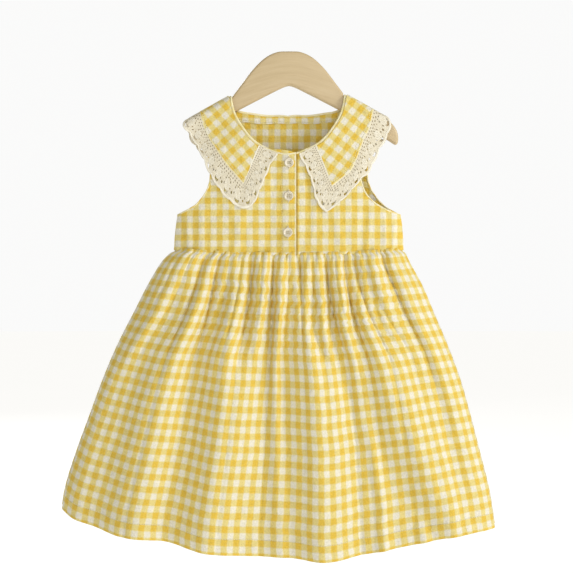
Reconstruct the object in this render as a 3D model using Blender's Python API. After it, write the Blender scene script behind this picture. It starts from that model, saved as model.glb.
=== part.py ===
"""A child's sleeveless a-line dress hanging on a flat wooden hanger.

Metres, +Z up, front towards -Y, +X to the viewer's right. The origin is the top centre of
the hanger, where the part is held. Tables hold millimetres: x across from the hanger's
middle, and drop, the distance below the hanger's top.
"""

import math

import bmesh
import bpy
from mathutils import Vector

MM = 0.001

# Driving dimensions, in millimetres
WALL = 1.2
LACE_WALL = 1.0
GAP = 0.3
SEAM_HALF = 0.25
DRESS_CENTRE = -1.5
BINDING_WIDTH = 2.4
BINDING_GAP = 0.4

HANGER_THICK = 10.0
HANGER_EDGE_ROUND = 3.5
HANGER_REACH_LEFT = 124.0
HANGER_REACH_RIGHT = 137.5
HANGER_TIP_ROUND = 8.0
HANGER_APEX_DROP = 43.5
HANGER_UNDER_SLOPE = 0.52
HANGER_APEX_ROUND = 7.0
HANGER_NECK_CORNER = 70.4
HANGER_CLEARANCE = 0.6
HANGER_ARM_STEPS = 6
HANGER_TIP_STEPS = 8
HANGER_ARCH_STEPS = 22

RIDGE_TOP_DROP = 10.7
RIDGE_SLOPE = 0.585
RIDGE_ROUND = 25.0
SHOULDER_RADIUS = 9.0
SHOULDER_TO_CHEST = 75.0

BODICE_DEPTH = 17.5
BODICE_EDGE_POWER = 3.0
WAIST_DROP = 257.3
WAIST_RISE = 7.0
WAIST_POWER = 2.2

SKIRT_DEPTH_WAIST = 17.5
SKIRT_DEPTH_HEM = 38.0
SKIRT_EDGE_POWER = 2.6
BACK_HEM_RISE = 5.0
GATHERS = 25
GATHER_HEIGHT = 3.2
GATHER_REACH = 0.22
GATHER_AT_WAIST = 0.4
GATHER_GROWTH = 0.04
FOLD_AT_WAIST = 0.15
FOLD_GROWTH = 0.13
SEAM_FLAT_POWER = 14
SKIRT_STEPS = 52
SKIRT_CROWD = 0.35
WALL_PROBE = 0.0015
SKIRT_FINE_ROWS = (0.0, 0.03, 0.07, 0.12)
SKIRT_ROWS = (0.18, 0.26, 0.35, 0.46, 0.58, 0.72, 0.86, 1.0)

COLLAR_LIFT = 0.35
COLLAR_RIDGE_LIFT = 0.6
COLLAR_RIDGE_REACH = 15.0
LACE_RISE_START = -27.0
LACE_RISE_LENGTH = 14.0
COLLAR_STEPS = 4
FACING_WIDTH = 7.5
FACING_WALL = 1.0
FACING_GAP = 0.8
FACING_SHORT = 3
BINDING_PROUD = 0.2
PANEL_STEPS = 8
PANEL_CROWD = 0.6
NECK_STEPS = 10
NECK_CROWD = 1.6
NECK_JOIN = 2.0
ARMHOLE_STEPS = 12
ARMHOLE_CROWD = 1.7
SEAM_STEPS = 3

SCALLOPS_FRONT = 5
SCALLOPS_SIDE = 7
SCALLOPS_BACK = 9
SCALLOP_DEPTH = 1.6
LACE_GAP = 0.4
LACE_ROWS = (0.0, 0.70, 0.81, 1.0)

BUTTON_DIAMETER = 12.0
BUTTON_THICK = 2.4
BUTTON_ROUND = 0.6
BUTTON_BACK_ROUND = 0.7
BUTTON_RIM = 1.5
BUTTON_DISH = 0.8
BUTTON_HOLE = 1.6
BUTTON_HOLE_OUT = 1.7
BUTTON_SIDES = 20
BUTTON_DROPS = (141.5, 183.0, 228.5)
BUTTON_ACROSS = 0.0

# The hanger's arch, half of it: how far out and how far down its edge is
ARCH = (
    # across, drop
    (0.0, 0.0),
    (15.0, 1.0),
    (30.0, 8.2),
    (45.0, 22.5),
    (60.0, 42.0),
    (68.0, 52.5),
)

# The neck's finished edge, half of it, from the shoulder down to the middle
FRONT_NECK = (
    # half width, drop
    (66.8, 75.0),
    (57.0, 94.0),
    (44.0, 110.5),
    (31.0, 119.8),
    (15.0, 127.0),
    (0.0, 129.5),
)
BACK_NECK = (
    # half width, drop
    (69.0, 66.0),
    (62.0, 72.8),
    (48.0, 75.5),
    (24.0, 78.3),
    (0.0, 79.3),
)
NECK_AT_SHOULDER = 71.6
SHOULDER_TIP = 112.5

# The finished armhole edges, from the shoulder's tip down to the side seam
ARMHOLES = {
    # piece: (across, drop) rows, signed across
    "front_right": (
        (-108.5, 100.0),
        (-103.5, 122.0),
        (-100.3, 143.0),
        (-99.5, 159.4),
        (-103.3, 174.5),
        (-114.7, 190.5),
        (-126.5, 198.5),
        (-140.3, 204.8),
    ),
    "front_left": (
        (104.0, 98.0),
        (96.0, 120.0),
        (91.0, 142.0),
        (90.8, 162.0),
        (95.8, 177.0),
        (105.5, 188.5),
        (121.0, 198.0),
        (139.0, 204.8),
    ),
    "back_right": (
        (-107.5, 100.0),
        (-102.0, 122.0),
        (-98.0, 143.0),
        (-97.5, 159.4),
        (-102.0, 174.5),
        (-113.0, 190.5),
        (-125.5, 198.5),
        (-140.3, 204.8),
    ),
    "back_left": (
        (108.5, 98.0),
        (103.0, 120.0),
        (100.5, 142.0),
        (100.6, 159.4),
        (105.8, 174.5),
        (117.2, 189.6),
        (127.0, 197.6),
        (139.0, 204.8),
    ),
}

# The bodice's side seams
BODICE_SIDES = (
    # drop, left x, right x
    (200.0, -139.8, 138.6),
    (212.0, -141.5, 141.8),
    (232.0, -143.8, 143.6),
    (258.0, -144.6, 144.2),
)

# The front's lap: x of the upper edge and of the edge under it
LAP_EDGE = 8.8
LAP_UNDER = -2.5
LAP_RISE = WALL + 2 * GAP
LAP_RAMP = 8.0

# The skirt's outline
SKIRT_SIDES = (
    # drop, left x, right x
    (249.5, -146.5, 145.5),
    (265.0, -161.0, 152.5),
    (295.5, -178.9, 168.8),
    (325.7, -194.0, 181.4),
    (371.1, -216.7, 200.3),
    (416.4, -235.6, 216.7),
    (461.8, -252.0, 229.3),
    (507.2, -268.4, 240.7),
    (552.5, -282.2, 252.0),
    (599.0, -289.5, 259.6),
)
SKIRT_HEM = (
    # share of the width from the left, drop
    (0.00, 575.5),
    (0.03, 586.0),
    (0.08, 594.5),
    (0.14, 604.5),
    (0.25, 612.5),
    (0.33, 623.5),
    (0.42, 628.5),
    (0.52, 631.0),
    (0.61, 634.5),
    (0.70, 627.0),
    (0.80, 617.0),
    (0.90, 606.5),
    (1.00, 599.5),
)

# Folds that stand out from the skirt. Shares of the width at a tenth of the way down, at
# the middle and at the hem; the half width of each as a share of the width; and its
# height in millimetres at the same three places.
FRONT_FOLDS = (
    # place top, mid, hem, half width top, mid, hem, height top, mid, hem
    (0.055, 0.030, 0.030, 0.030, 0.030, 0.030, 4.0, 4.0, 5.0),
    (0.166, 0.166, 0.160, 0.042, 0.058, 0.070, 9.0, 14.0, 17.0),
    (0.306, 0.345, 0.340, 0.040, 0.062, 0.070, 12.0, 17.0, 19.0),
    (0.392, 0.395, 0.410, 0.024, 0.024, 0.030, 8.0, 4.0, 1.0),
    (0.467, 0.478, 0.506, 0.020, 0.022, 0.026, 9.0, 6.0, 5.0),
    (0.558, 0.592, 0.612, 0.030, 0.058, 0.066, 10.0, 16.0, 17.0),
    (0.636, 0.650, 0.680, 0.024, 0.030, 0.030, 9.0, 3.0, 0.0),
    (0.706, 0.800, 0.905, 0.026, 0.056, 0.050, 8.0, 15.0, 13.0),
    (0.780, 0.790, 0.745, 0.028, 0.030, 0.022, 9.0, 1.0, 6.0),
    (0.905, 0.950, 0.830, 0.040, 0.028, 0.022, 7.0, 5.0, 4.0),
)
BACK_FOLDS = (
    # place top, mid, hem, half width top, mid, hem, height top, mid, hem
    (0.070, 0.050, 0.045, 0.034, 0.034, 0.036, 4.0, 5.0, 6.0),
    (0.180, 0.200, 0.215, 0.040, 0.056, 0.062, 9.0, 14.0, 16.0),
    (0.290, 0.330, 0.345, 0.030, 0.034, 0.036, 8.0, 7.0, 6.0),
    (0.400, 0.440, 0.470, 0.040, 0.054, 0.058, 11.0, 15.0, 18.0),
    (0.510, 0.560, 0.590, 0.026, 0.028, 0.030, 8.0, 5.0, 5.0),
    (0.600, 0.660, 0.700, 0.038, 0.056, 0.062, 10.0, 16.0, 17.0),
    (0.720, 0.790, 0.825, 0.034, 0.036, 0.036, 9.0, 7.0, 7.0),
    (0.850, 0.900, 0.930, 0.036, 0.044, 0.040, 7.0, 11.0, 12.0),
)
# The gathers aren't even: waves that move them sideways
GATHER_UNEVEN = (
    # half waves over the width, how many gathers it shifts them by
    (6, 0.35),
    (15, 0.20),
)

# Collar halves, from the point in front over the shoulder to the centre back. Each row is a
# place on the gingham's edge and the place on the lace's edge beside it. side is 1 in
# front, 0 on the shoulder ridge and -1 behind.
COLLARS = {
    "right": (
        # side, gingham edge across and drop, lace edge across and drop
        (1, -57.1, 167.3, -58.0, 200.7),
        (1, -68.0, 155.0, -78.0, 186.5),
        (1, -79.0, 142.3, -97.8, 158.9),
        (1, -90.0, 126.0, -112.4, 127.6),
        (1, -99.8, 110.9, -124.5, 107.0),
        (1, -108.0, 93.0, -133.0, 95.0),
        (0, -112.4, 0.0, -130.5, 0.0),
        (-1, -108.5, 95.0, -127.5, 106.0),
        (-1, -98.0, 109.0, -113.5, 125.0),
        (-1, -80.0, 118.5, -90.0, 138.5),
        (-1, -55.0, 124.0, -60.0, 145.5),
        (-1, -28.0, 127.0, -30.0, 149.0),
        (-1, 0.0, 128.0, 0.0, 150.0),
    ),
    "left": (
        # side, gingham edge across and drop, lace edge across and drop
        (1, 53.7, 170.5, 46.0, 204.8),
        (1, 66.0, 161.0, 68.0, 187.5),
        (1, 77.7, 150.6, 88.2, 165.2),
        (1, 86.0, 133.0, 100.8, 152.7),
        (1, 92.4, 115.0, 113.0, 127.5),
        (1, 101.0, 97.0, 128.0, 97.0),
        (0, 106.5, 0.0, 122.5, 0.0),
        (-1, 102.5, 92.0, 125.0, 104.0),
        (-1, 94.0, 107.0, 112.0, 124.0),
        (-1, 77.0, 117.5, 88.0, 138.0),
        (-1, 53.0, 123.5, 59.0, 145.3),
        (-1, 27.0, 127.0, 29.0, 149.0),
        (-1, 0.0, 128.0, 0.0, 150.0),
    ),
}
# The lace's outer edge along the front of each collar half, from its point up to the neck
LACE_FRONTS = {
    "right": (
        # across, drop
        (-58.0, 200.7),
        (-45.0, 195.0),
        (-36.5, 177.5),
        (-28.5, 158.9),
        (-20.4, 140.5),
        (-12.3, 131.4),
    ),
    "left": (
        (46.0, 204.8),
        (34.0, 190.0),
        (28.5, 168.0),
        (22.5, 152.0),
        (17.0, 141.0),
        (11.5, 131.4),
    ),
}
# Where each collar half's front edge leaves the neck
COLLAR_STARTS = {"right": -36.8, "left": 33.6}


def clear_scene():
    for thing in list(bpy.data.objects):
        bpy.data.objects.remove(thing, do_unlink=True)


def material(name, colour, roughness, metallic=0.0):
    made = bpy.data.materials.new(name)
    made.use_nodes = True
    shader = made.node_tree.nodes["Principled BSDF"]
    shader.inputs["Base Color"].default_value = (*colour, 1.0)
    shader.inputs["Roughness"].default_value = roughness
    shader.inputs["Metallic"].default_value = metallic
    return made


def lerp(low, high, share):
    return low + (high - low) * share


def ease(share):
    share = min(1.0, max(0.0, share))
    return share * share * (3.0 - 2.0 * share)


def smooth(table, at, column=1):
    """The table's column at this value of its first column, on a smooth line."""
    rows = sorted(table)
    at = min(rows[-1][0], max(rows[0][0], at))
    last = len(rows) - 1
    k = 0
    while k < last - 1 and at > rows[k + 1][0]:
        k += 1

    def slope(i):
        low, high = rows[max(0, i - 1)], rows[min(last, i + 1)]
        return (high[column] - low[column]) / (high[0] - low[0])

    step = rows[k + 1][0] - rows[k][0]
    t = (at - rows[k][0]) / step
    value = rows[k][column] * (1 + 2 * t) * (1 - t) ** 2
    value += rows[k + 1][column] * t * t * (3 - 2 * t)
    value += slope(k) * step * t * (1 - t) ** 2
    return value - slope(k + 1) * step * t * t * (1 - t)


def along(points, share):
    """The point this share of the way along a smooth line through the points."""
    lengths = [0.0]
    for a, b in zip(points, points[1:]):
        lengths.append(lengths[-1] + math.dist(a, b))
    at = share * lengths[-1]
    columns = range(len(points[0]))
    table = [(lengths[i], *points[i]) for i in range(len(points))]
    return tuple(smooth(table, at, 1 + c) for c in columns)


def spread(steps, crowd):
    """Shares from 0 to 1, drawn from even steps towards both ends by crowd."""
    even = [k / steps for k in range(steps + 1)]
    return [lerp(k, 0.5 - 0.5 * math.cos(math.pi * k), crowd) for k in even]


# The bodice's form. A point on it is named by x and by run, the distance from the shoulder
# ridge over the cloth: positive down the front, negative down the back.
def ridge_drop(x):
    return RIDGE_TOP_DROP + RIDGE_SLOPE * math.hypot(x, RIDGE_ROUND)


def run_of(x, drop, side=1):
    below = drop - ridge_drop(x)
    if below < SHOULDER_RADIUS:
        return side * SHOULDER_RADIUS * math.acos(1.0 - max(0.0, below) / SHOULDER_RADIUS)
    return side * (below + SHOULDER_RADIUS * (math.pi / 2 - 1.0))


def drop_of(x, run):
    run = abs(run)
    if run < SHOULDER_RADIUS * math.pi / 2:
        below = SHOULDER_RADIUS * (1.0 - math.cos(run / SHOULDER_RADIUS))
    else:
        below = run - SHOULDER_RADIUS * (math.pi / 2 - 1.0)
    return ridge_drop(x) + below


def bodice_depth(x, drop):
    half = smooth(BODICE_SIDES, drop, 1 if x < DRESS_CENTRE else 2) - DRESS_CENTRE
    share = min(1.0, abs((x - DRESS_CENTRE) / half))
    return BODICE_DEPTH * math.sqrt(1.0 - share**BODICE_EDGE_POWER)


def bodice_point(x, run):
    drop = drop_of(x, run)
    round_part = SHOULDER_RADIUS * math.sin(min(math.pi / 2, abs(run) / SHOULDER_RADIUS))
    full = bodice_depth(x, drop) - SHOULDER_RADIUS
    depth = round_part + full * ease((drop - ridge_drop(x)) / SHOULDER_TO_CHEST)
    depth += SEAM_HALF * ease(abs(run) / SHOULDER_RADIUS)
    return Vector((x, -math.copysign(depth, run), -drop))


def bodice_normal(x, run):
    step = 0.05
    drop = drop_of(x, run)
    low, high = smooth(BODICE_SIDES, drop, 1), smooth(BODICE_SIDES, drop, 2)
    across = bodice_point(min(high, x + step), run) - bodice_point(max(low, x - step), run)
    down = bodice_point(x, run + step) - bodice_point(x, run - step)
    return down.cross(across).normalized()


def bodice_lift(x, run, height):
    """A point this far outside the bodice's outer surface."""
    return bodice_point(x, run) + bodice_normal(x, run) * height


class Sheet:
    """A cloth wall, gathered as cells between outer and inner points, then closed round."""

    def __init__(self):
        self.outer = []
        self.inner = []
        self.cells = []
        self.seen = {}

    def point(self, outer, inner):
        key = tuple(round(c, 3) for c in outer)
        if key not in self.seen:
            self.seen[key] = len(self.outer)
            self.outer.append(outer)
            self.inner.append(inner)
        return self.seen[key]

    def grid(self, rows, holes=()):
        """Rows of (outer, inner) pairs. A row may have half as many steps as its neighbour.

        holes names the cells, by row and column, that are cut through.
        """
        index = [[self.point(*pair) for pair in row] for row in rows]
        for r in range(len(index) - 1):
            here, there = len(index[r]) - 1, len(index[r + 1]) - 1
            cells = min(here, there)
            for c in range(cells):
                if (r, c) in holes:
                    continue
                above = index[r][c * here // cells : (c + 1) * here // cells + 1]
                below = index[r + 1][c * there // cells : (c + 1) * there // cells + 1]
                self.cells.append(above + below[::-1])

    def build(self, name, finish):
        shift = len(self.outer)
        faces = [cell[:] for cell in self.cells]
        faces += [[i + shift for i in cell[::-1]] for cell in self.cells]
        edges = {(a, b) for cell in self.cells for a, b in zip(cell, cell[1:] + cell[:1])}
        rims = [(a, b) for a, b in sorted(edges) if (b, a) not in edges]
        faces += [[b, a, a + shift, b + shift] for a, b in rims]
        return mesh_object(name, self.outer + self.inner, faces, finish)


def mesh_object(name, points, faces, finish):
    mesh = bpy.data.meshes.new(name)
    mesh.from_pydata([tuple(c * MM for c in p) for p in points], [], faces)
    mesh.materials.append(finish)
    made = bpy.data.objects.new(name, mesh)
    bpy.context.scene.collection.objects.link(made)
    shape = bmesh.new()
    shape.from_mesh(mesh)
    bmesh.ops.recalc_face_normals(shape, faces=shape.faces)
    shape.to_mesh(mesh)
    shape.free()
    mesh.shade_smooth()
    mesh.set_sharp_from_angle(angle=math.radians(50))
    return made


def strip(name, rings, finish, closed=False):
    """A narrow piece from its cross-sections, each a ring of points."""
    sides = len(rings[0])
    points = [p for ring in rings for p in ring]
    faces = []
    for r in range(len(rings) if closed else len(rings) - 1):
        near, far = r * sides, (r + 1) % len(rings) * sides
        for i in range(sides):
            j = (i + 1) % sides
            faces.append([near + i, near + j, far + j, far + i])
    if not closed:
        faces.append(list(range(sides))[::-1])
        faces.append([len(points) - sides + i for i in range(sides)])
    return mesh_object(name, points, faces, finish)


# Lines over the bodice, each a list of (x, run)
def on_bodice(rows, side):
    return [(x, run_of(x, drop, side)) for x, drop in rows]


def sampled(points, steps, crowd=1.0):
    """Even steps along a line, or steps that crowd towards its end."""
    return [along(points, 1.0 - (1.0 - k / steps) ** crowd) for k in range(steps + 1)]


def beside(line, distance, first=None, last=None):
    """The line moved sideways, with its two ends placed where given."""
    moved = []
    for i, (x, run) in enumerate(line):
        before, after = line[max(0, i - 1)], line[min(len(line) - 1, i + 1)]
        dx, drun = after[0] - before[0], after[1] - before[1]
        size = math.hypot(dx, drun)
        moved.append((x - drun / size * distance, run + dx / size * distance))
    if first:
        moved[0] = first
    if last:
        moved[-1] = last
    return moved


def neck_line(hand, side, start, distance, steps, crowd=NECK_CROWD):
    """The neck's edge from x = start to the shoulder, moved out from the neck by distance.

    hand is -1 at the viewer's left and 1 at the right; side is 1 in front, -1 behind.
    """
    table = FRONT_NECK if side > 0 else BACK_NECK
    from_half = hand * (start - DRESS_CENTRE)
    start_drop = smooth(table, abs(from_half))
    rows = [(start, start_drop)]
    rows += [
        (DRESS_CENTRE + hand * half, drop)
        for half, drop in table[::-1]
        if half > from_half + NECK_JOIN
    ]
    line = on_bodice(rows, side) + [(DRESS_CENTRE + hand * NECK_AT_SHOULDER, 0.0)]
    line = sampled(line, steps, crowd)
    if distance == 0.0:
        return line
    first = (start, run_of(start, start_drop + distance, side))
    last = (line[-1][0] + hand * distance, 0.0)
    return beside(line, hand * side * distance, first, last)


def armhole_line(name, distance):
    """An armhole's edge from the side seam to the shoulder, moved into the cloth."""
    rows = ARMHOLES[name][::-1]
    hand = math.copysign(1.0, rows[0][0])
    side = 1 if name.startswith("front") else -1
    column = 1 if hand < 0 else 2
    bottom = rows[0][1] + distance
    foot = (smooth(BODICE_SIDES, bottom, column), bottom)
    rows = ((smooth(BODICE_SIDES, rows[0][1], column), rows[0][1]),) + rows[1:]
    line = on_bodice(rows, side) + [(hand * SHOULDER_TIP, 0.0)]
    line = sampled(line, ARMHOLE_STEPS, ARMHOLE_CROWD)
    if distance == 0.0:
        return line
    first = (foot[0], run_of(*foot, side))
    last = (line[-1][0] - hand * distance, 0.0)
    return beside(line, -hand * side * distance, first, last)


def waist_drop(x):
    half = smooth(BODICE_SIDES, WAIST_DROP, 1 if x < DRESS_CENTRE else 2) - DRESS_CENTRE
    return WAIST_DROP - WAIST_RISE * abs((x - DRESS_CENTRE) / half) ** WAIST_POWER


def side_seam(hand, side, top, steps):
    """The bodice's side seam from the waist up, as (x, run)."""
    column = 1 if hand < 0 else 2
    foot = smooth(BODICE_SIDES, WAIST_DROP - WAIST_RISE, column)
    low = waist_drop(foot)
    drops = [lerp(low, top, k / steps) for k in range(steps + 1)]
    return on_bodice([(smooth(BODICE_SIDES, d, column), d) for d in drops], side)


def no_rise(x):
    return 0.0


def lap_rise(x):
    """How far the lapping front lies above the one under it."""
    start = LAP_UNDER - LAP_RAMP
    return LAP_RISE * ease((x - start) / LAP_RAMP)


def on_panel(x, run, side, rise):
    """The outer and inner points of a bodice wall, held off the seam plane."""
    pair = [bodice_lift(x, run, rise(x) - depth) for depth in (0.0, WALL)]
    for p in pair:
        p.y = -side * max(SEAM_HALF, -side * p.y)
    return pair


def panel_rows(outer_line, inner_line, side, rise, shares):
    """Rows across a panel, between its outer and its inner boundary."""
    rows = []
    last = len(outer_line) - 1
    for k, ((x0, run0), (x1, run1)) in enumerate(zip(outer_line, inner_line)):
        up = k / last
        drop0, drop1 = drop_of(x0, run0), drop_of(x1, run1)
        row = []
        for share in shares:
            x = lerp(x0, x1, share)
            drop = lerp(drop0, drop1, share)
            sag = waist_drop(x) - lerp(waist_drop(x0), waist_drop(x1), share)
            drop += sag * (1.0 - up) ** 2
            flat = run_of(x, drop, side)
            run = lerp(flat, lerp(run0, run1, share), ease(up))
            if k == last:
                run = 0.0
            row.append(on_panel(x, run, side, rise))
        rows.append(row)
    return rows


def bodice_half(hand, side, centre, rise=no_rise):
    """One half of the bodice, as rows from the waist to the shoulder seam."""
    name = ("front" if side > 0 else "back") + ("_right" if hand < 0 else "_left")
    edge = BINDING_WIDTH + BINDING_GAP
    armhole = armhole_line(name, edge)
    even = [k / PANEL_STEPS for k in range(PANEL_STEPS + 1)]
    shares = [lerp(k, 1.0 - math.cos(math.pi / 2 * k), PANEL_CROWD) for k in even]
    if rise is lap_rise:
        width = centre - smooth(BODICE_SIDES, WAIST_DROP, 1)
        ramp = [1.0 - (centre - LAP_UNDER + k * LAP_RAMP) / width for k in (1.0, 0.5, 0.0)]
        shares = [k * ramp[0] for k in shares] + ramp[1:] + [1.0]
    seam_top = ARMHOLES[name][-1][1] + edge
    outer_line = side_seam(hand, side, seam_top, SEAM_STEPS) + armhole[1:]
    neck = neck_line(hand, side, centre, edge, NECK_STEPS)
    top = drop_of(*neck[0])
    low = waist_drop(centre)
    rise_steps = len(outer_line) - 1 - NECK_STEPS
    centre_line = [(centre, lerp(low, top, k / rise_steps)) for k in range(rise_steps + 1)]
    inner_line = on_bodice(centre_line, side) + neck[1:]
    return panel_rows(outer_line, inner_line, side, rise, shares)


def build_bodice(cloth):
    right = Sheet()
    right.grid(bodice_half(-1, 1, LAP_EDGE, lap_rise))
    right.build("bodice_front_right", cloth)
    left = Sheet()
    left.grid(bodice_half(1, 1, LAP_UNDER))
    left.build("bodice_front_left", cloth)
    back = Sheet()
    for hand in (-1, 1):
        rows = bodice_half(hand, -1, DRESS_CENTRE)
        back.grid([row if hand < 0 else row[::-1] for row in rows])
    back.build("bodice_back", cloth)


def ring_between(edge, inside, low, high):
    """A cross-section from the finished edge to the line inside it."""
    return [
        bodice_lift(*edge, high),
        bodice_lift(*inside, high),
        bodice_lift(*inside, low),
        bodice_lift(*edge, low),
    ]


def neck_rings(hand, side, start, rise):
    """Cross-sections of the neck's binding, from x = start to the shoulder."""
    first = LAP_UNDER if side > 0 and hand > 0 else start
    edge = neck_line(hand, side, first, 0.0, NECK_STEPS)
    inside = neck_line(hand, side, first, BINDING_WIDTH, NECK_STEPS)
    if first != start:
        after = next(k for k, place in enumerate(edge) if hand * (place[0] - start) > 0.0)
        for line in (edge, inside):
            a, b = line[after - 1], line[after]
            share = (start - a[0]) / (b[0] - a[0])
            line[:after] = [(lerp(a[0], b[0], share), lerp(a[1], b[1], share))]
    return [
        ring_between(a, b, rise(a[0]) - WALL, rise(a[0]) + BINDING_PROUD)
        for a, b in zip(edge, inside)
    ]


def build_bindings(cloth):
    for hand, word in ((-1, "right"), (1, "left")):
        if hand < 0:
            rings = neck_rings(hand, 1, LAP_EDGE, lap_rise)
        else:
            rings = neck_rings(hand, 1, LAP_EDGE + GAP, no_rise)
        rings += neck_rings(hand, -1, DRESS_CENTRE + hand * GAP / 2, no_rise)[-2::-1]
        strip(f"neck_binding_{word}", rings, cloth)

        front, back = f"front_{word}", f"back_{word}"
        edge = armhole_line(front, 0.0), armhole_line(back, 0.0)[-2:0:-1]
        inside = (
            armhole_line(front, BINDING_WIDTH),
            armhole_line(back, BINDING_WIDTH)[-2:0:-1],
        )
        rings = [
            ring_between(a, b, -WALL, 0.0)
            for a, b in zip(edge[0] + edge[1], inside[0] + inside[1])
        ]
        strip(f"armhole_binding_{word}", rings, cloth, closed=True)


def build_facing(cloth):
    """The strip inside the back neck, which stops short of the shoulders."""
    facing = Sheet()
    lines = []
    edge = BINDING_WIDTH + BINDING_GAP
    for distance in (edge, edge + FACING_WIDTH):
        left = neck_line(-1, -1, DRESS_CENTRE, distance, NECK_STEPS, 1.0)[:-FACING_SHORT]
        right = neck_line(1, -1, DRESS_CENTRE, distance, NECK_STEPS, 1.0)[1:-FACING_SHORT]
        lines.append(left[::-1] + right)
    near = -WALL - FACING_GAP
    far = near - FACING_WALL
    rows = [[[bodice_lift(*p, near), bodice_lift(*p, far)] for p in line] for line in lines]
    facing.grid(rows)
    facing.build("neck_facing", cloth)


def collar_edges(word, lace):
    """An edge of a collar half as (x, run), in front and behind the shoulder ridge."""
    first = 3 if lace else 1
    rows = COLLARS[word]
    places = [(r[0], r[first], r[first + 1]) for r in rows]
    line = [(x, run_of(x, drop, side) if side else 0.0) for side, x, drop in places]
    ridge = [r[0] for r in rows].index(0)
    front = sampled(line[: ridge + 1], 3 * SCALLOPS_SIDE)
    back = sampled(line[ridge:], 3 * SCALLOPS_BACK)
    return front + back[1:]


def collar_neck(hand, word):
    """The collar half's edge along the neck, with a place for each on its outer edge."""
    inside = BINDING_WIDTH + BINDING_GAP
    front = neck_line(hand, 1, COLLAR_STARTS[word], inside, 3 * SCALLOPS_SIDE, 1.0)
    back = neck_line(hand, -1, DRESS_CENTRE + hand * GAP, inside, 3 * SCALLOPS_BACK, 1.0)
    return front + back[-2::-1]


def collar_row(near, far, shares, hand, thick):
    """Outer and inner points of a collar or lace wall along one rib."""
    limit = DRESS_CENTRE + hand * GAP
    row = []
    for share in shares:
        x, run = lerp(near[0], far[0], share), lerp(near[1], far[1], share)
        x = max(x, limit) if hand > 0 else min(x, limit)
        low = COLLAR_LIFT + COLLAR_RIDGE_LIFT * math.exp(-((run / COLLAR_RIDGE_REACH) ** 2))
        if hand < 0 and run > 0.0:
            low += LAP_RISE * ease((x - LACE_RISE_START) / LACE_RISE_LENGTH)
        row.append([bodice_lift(x, run, low + thick), bodice_lift(x, run, low)])
    return row


def build_collars(cloth):
    shares = [k / COLLAR_STEPS for k in range(COLLAR_STEPS + 1)]
    for hand, word in ((-1, "right"), (1, "left")):
        ribs = zip(collar_neck(hand, word), collar_edges(word, lace=False))
        sheet = Sheet()
        sheet.grid([collar_row(near, far, shares, hand, WALL) for near, far in ribs])
        sheet.build(f"collar_{word}", cloth)


def build_lace(thread):
    for hand, word in ((-1, "right"), (1, "left")):
        gingham, edge = collar_edges(word, lace=False), collar_edges(word, lace=True)
        neck = collar_neck(hand, word)[0]
        steps = 3 * SCALLOPS_FRONT
        front = sampled(on_bodice(LACE_FRONTS[word][::-1], 1), steps)
        straight = [
            (lerp(neck[0], gingham[0][0], k / steps), lerp(neck[1], gingham[0][1], k / steps))
            for k in range(steps + 1)
        ]
        ribs = list(zip(straight, front)) + list(zip(gingham, edge))[1:]
        rows = []
        for k, (near, far) in enumerate(ribs):
            width = math.dist(near, far)
            scallop = SCALLOP_DEPTH * (0.0 if k % 3 else 1.0)
            reach = width - scallop
            shares = [lerp(LACE_GAP, width, s) / width for s in LACE_ROWS[:-1]] + [reach / width]
            rows.append(collar_row(near, far, shares, hand, LACE_WALL))
        holes = {(r, 1) for r in range(len(rows) - 1) if r % 3 == 1}
        sheet = Sheet()
        sheet.grid(rows, holes)
        sheet.build(f"lace_{word}", thread)


def skirt_edges(down):
    """The skirt's left and right x this share of the way down."""
    left_drop = lerp(SKIRT_SIDES[0][0], SKIRT_HEM[0][1], down)
    right_drop = lerp(SKIRT_SIDES[0][0], SKIRT_HEM[-1][1], down)
    return smooth(SKIRT_SIDES, left_drop, 1), smooth(SKIRT_SIDES, right_drop, 2)


def at_three(top, mid, hem, down):
    """A value given a tenth of the way down, at the middle and at the hem."""
    return smooth(((0.1, top), (0.5, mid), (1.0, hem)), down)


def skirt_stand(side, across, down):
    """How far the folds and gathers stand out from the skirt's plain form."""
    folds = FRONT_FOLDS if side > 0 else BACK_FOLDS
    stand = 0.0
    for row in folds:
        place, half, height = (at_three(*row[k : k + 3], down) for k in (0, 3, 6))
        off = abs(across - place) / half
        if off < 1.0:
            stand += height * (0.5 + 0.5 * math.cos(math.pi * off))
    stand *= lerp(FOLD_AT_WAIST, 1.0, ease(down / FOLD_GROWTH))
    uneven = sum(much * math.sin(waves * math.pi * across) for waves, much in GATHER_UNEVEN)
    gather = math.cos(2 * math.pi * (GATHERS * across + uneven))
    fading = max(0.0, 1.0 - down / GATHER_REACH)
    rising = lerp(GATHER_AT_WAIST, 1.0, ease(down / GATHER_GROWTH))
    stand += GATHER_HEIGHT * (0.5 + 0.5 * gather) * fading * rising
    return stand * (1.0 - abs(2.0 * across - 1.0) ** SEAM_FLAT_POWER)


def skirt_point(side, across, down):
    left, right = skirt_edges(down)
    x = lerp(left, right, across)
    waist_left, waist_right = BODICE_SIDES[-1][1:]
    at_waist = lerp(*skirt_edges(0.0), across)
    top = waist_drop(min(waist_right, max(waist_left, at_waist)))
    hem = smooth(SKIRT_HEM, across) - (BACK_HEM_RISE if side < 0 else 0.0)
    drop = lerp(top + GAP, hem, down)
    full = lerp(SKIRT_DEPTH_WAIST, SKIRT_DEPTH_HEM, down)
    shape = (1.0 - min(1.0, abs(2.0 * across - 1.0)) ** SKIRT_EDGE_POWER) ** 0.5
    depth = full * shape + skirt_stand(side, across, down)
    return Vector((x, -side * (SEAM_HALF + depth), -drop))


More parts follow.
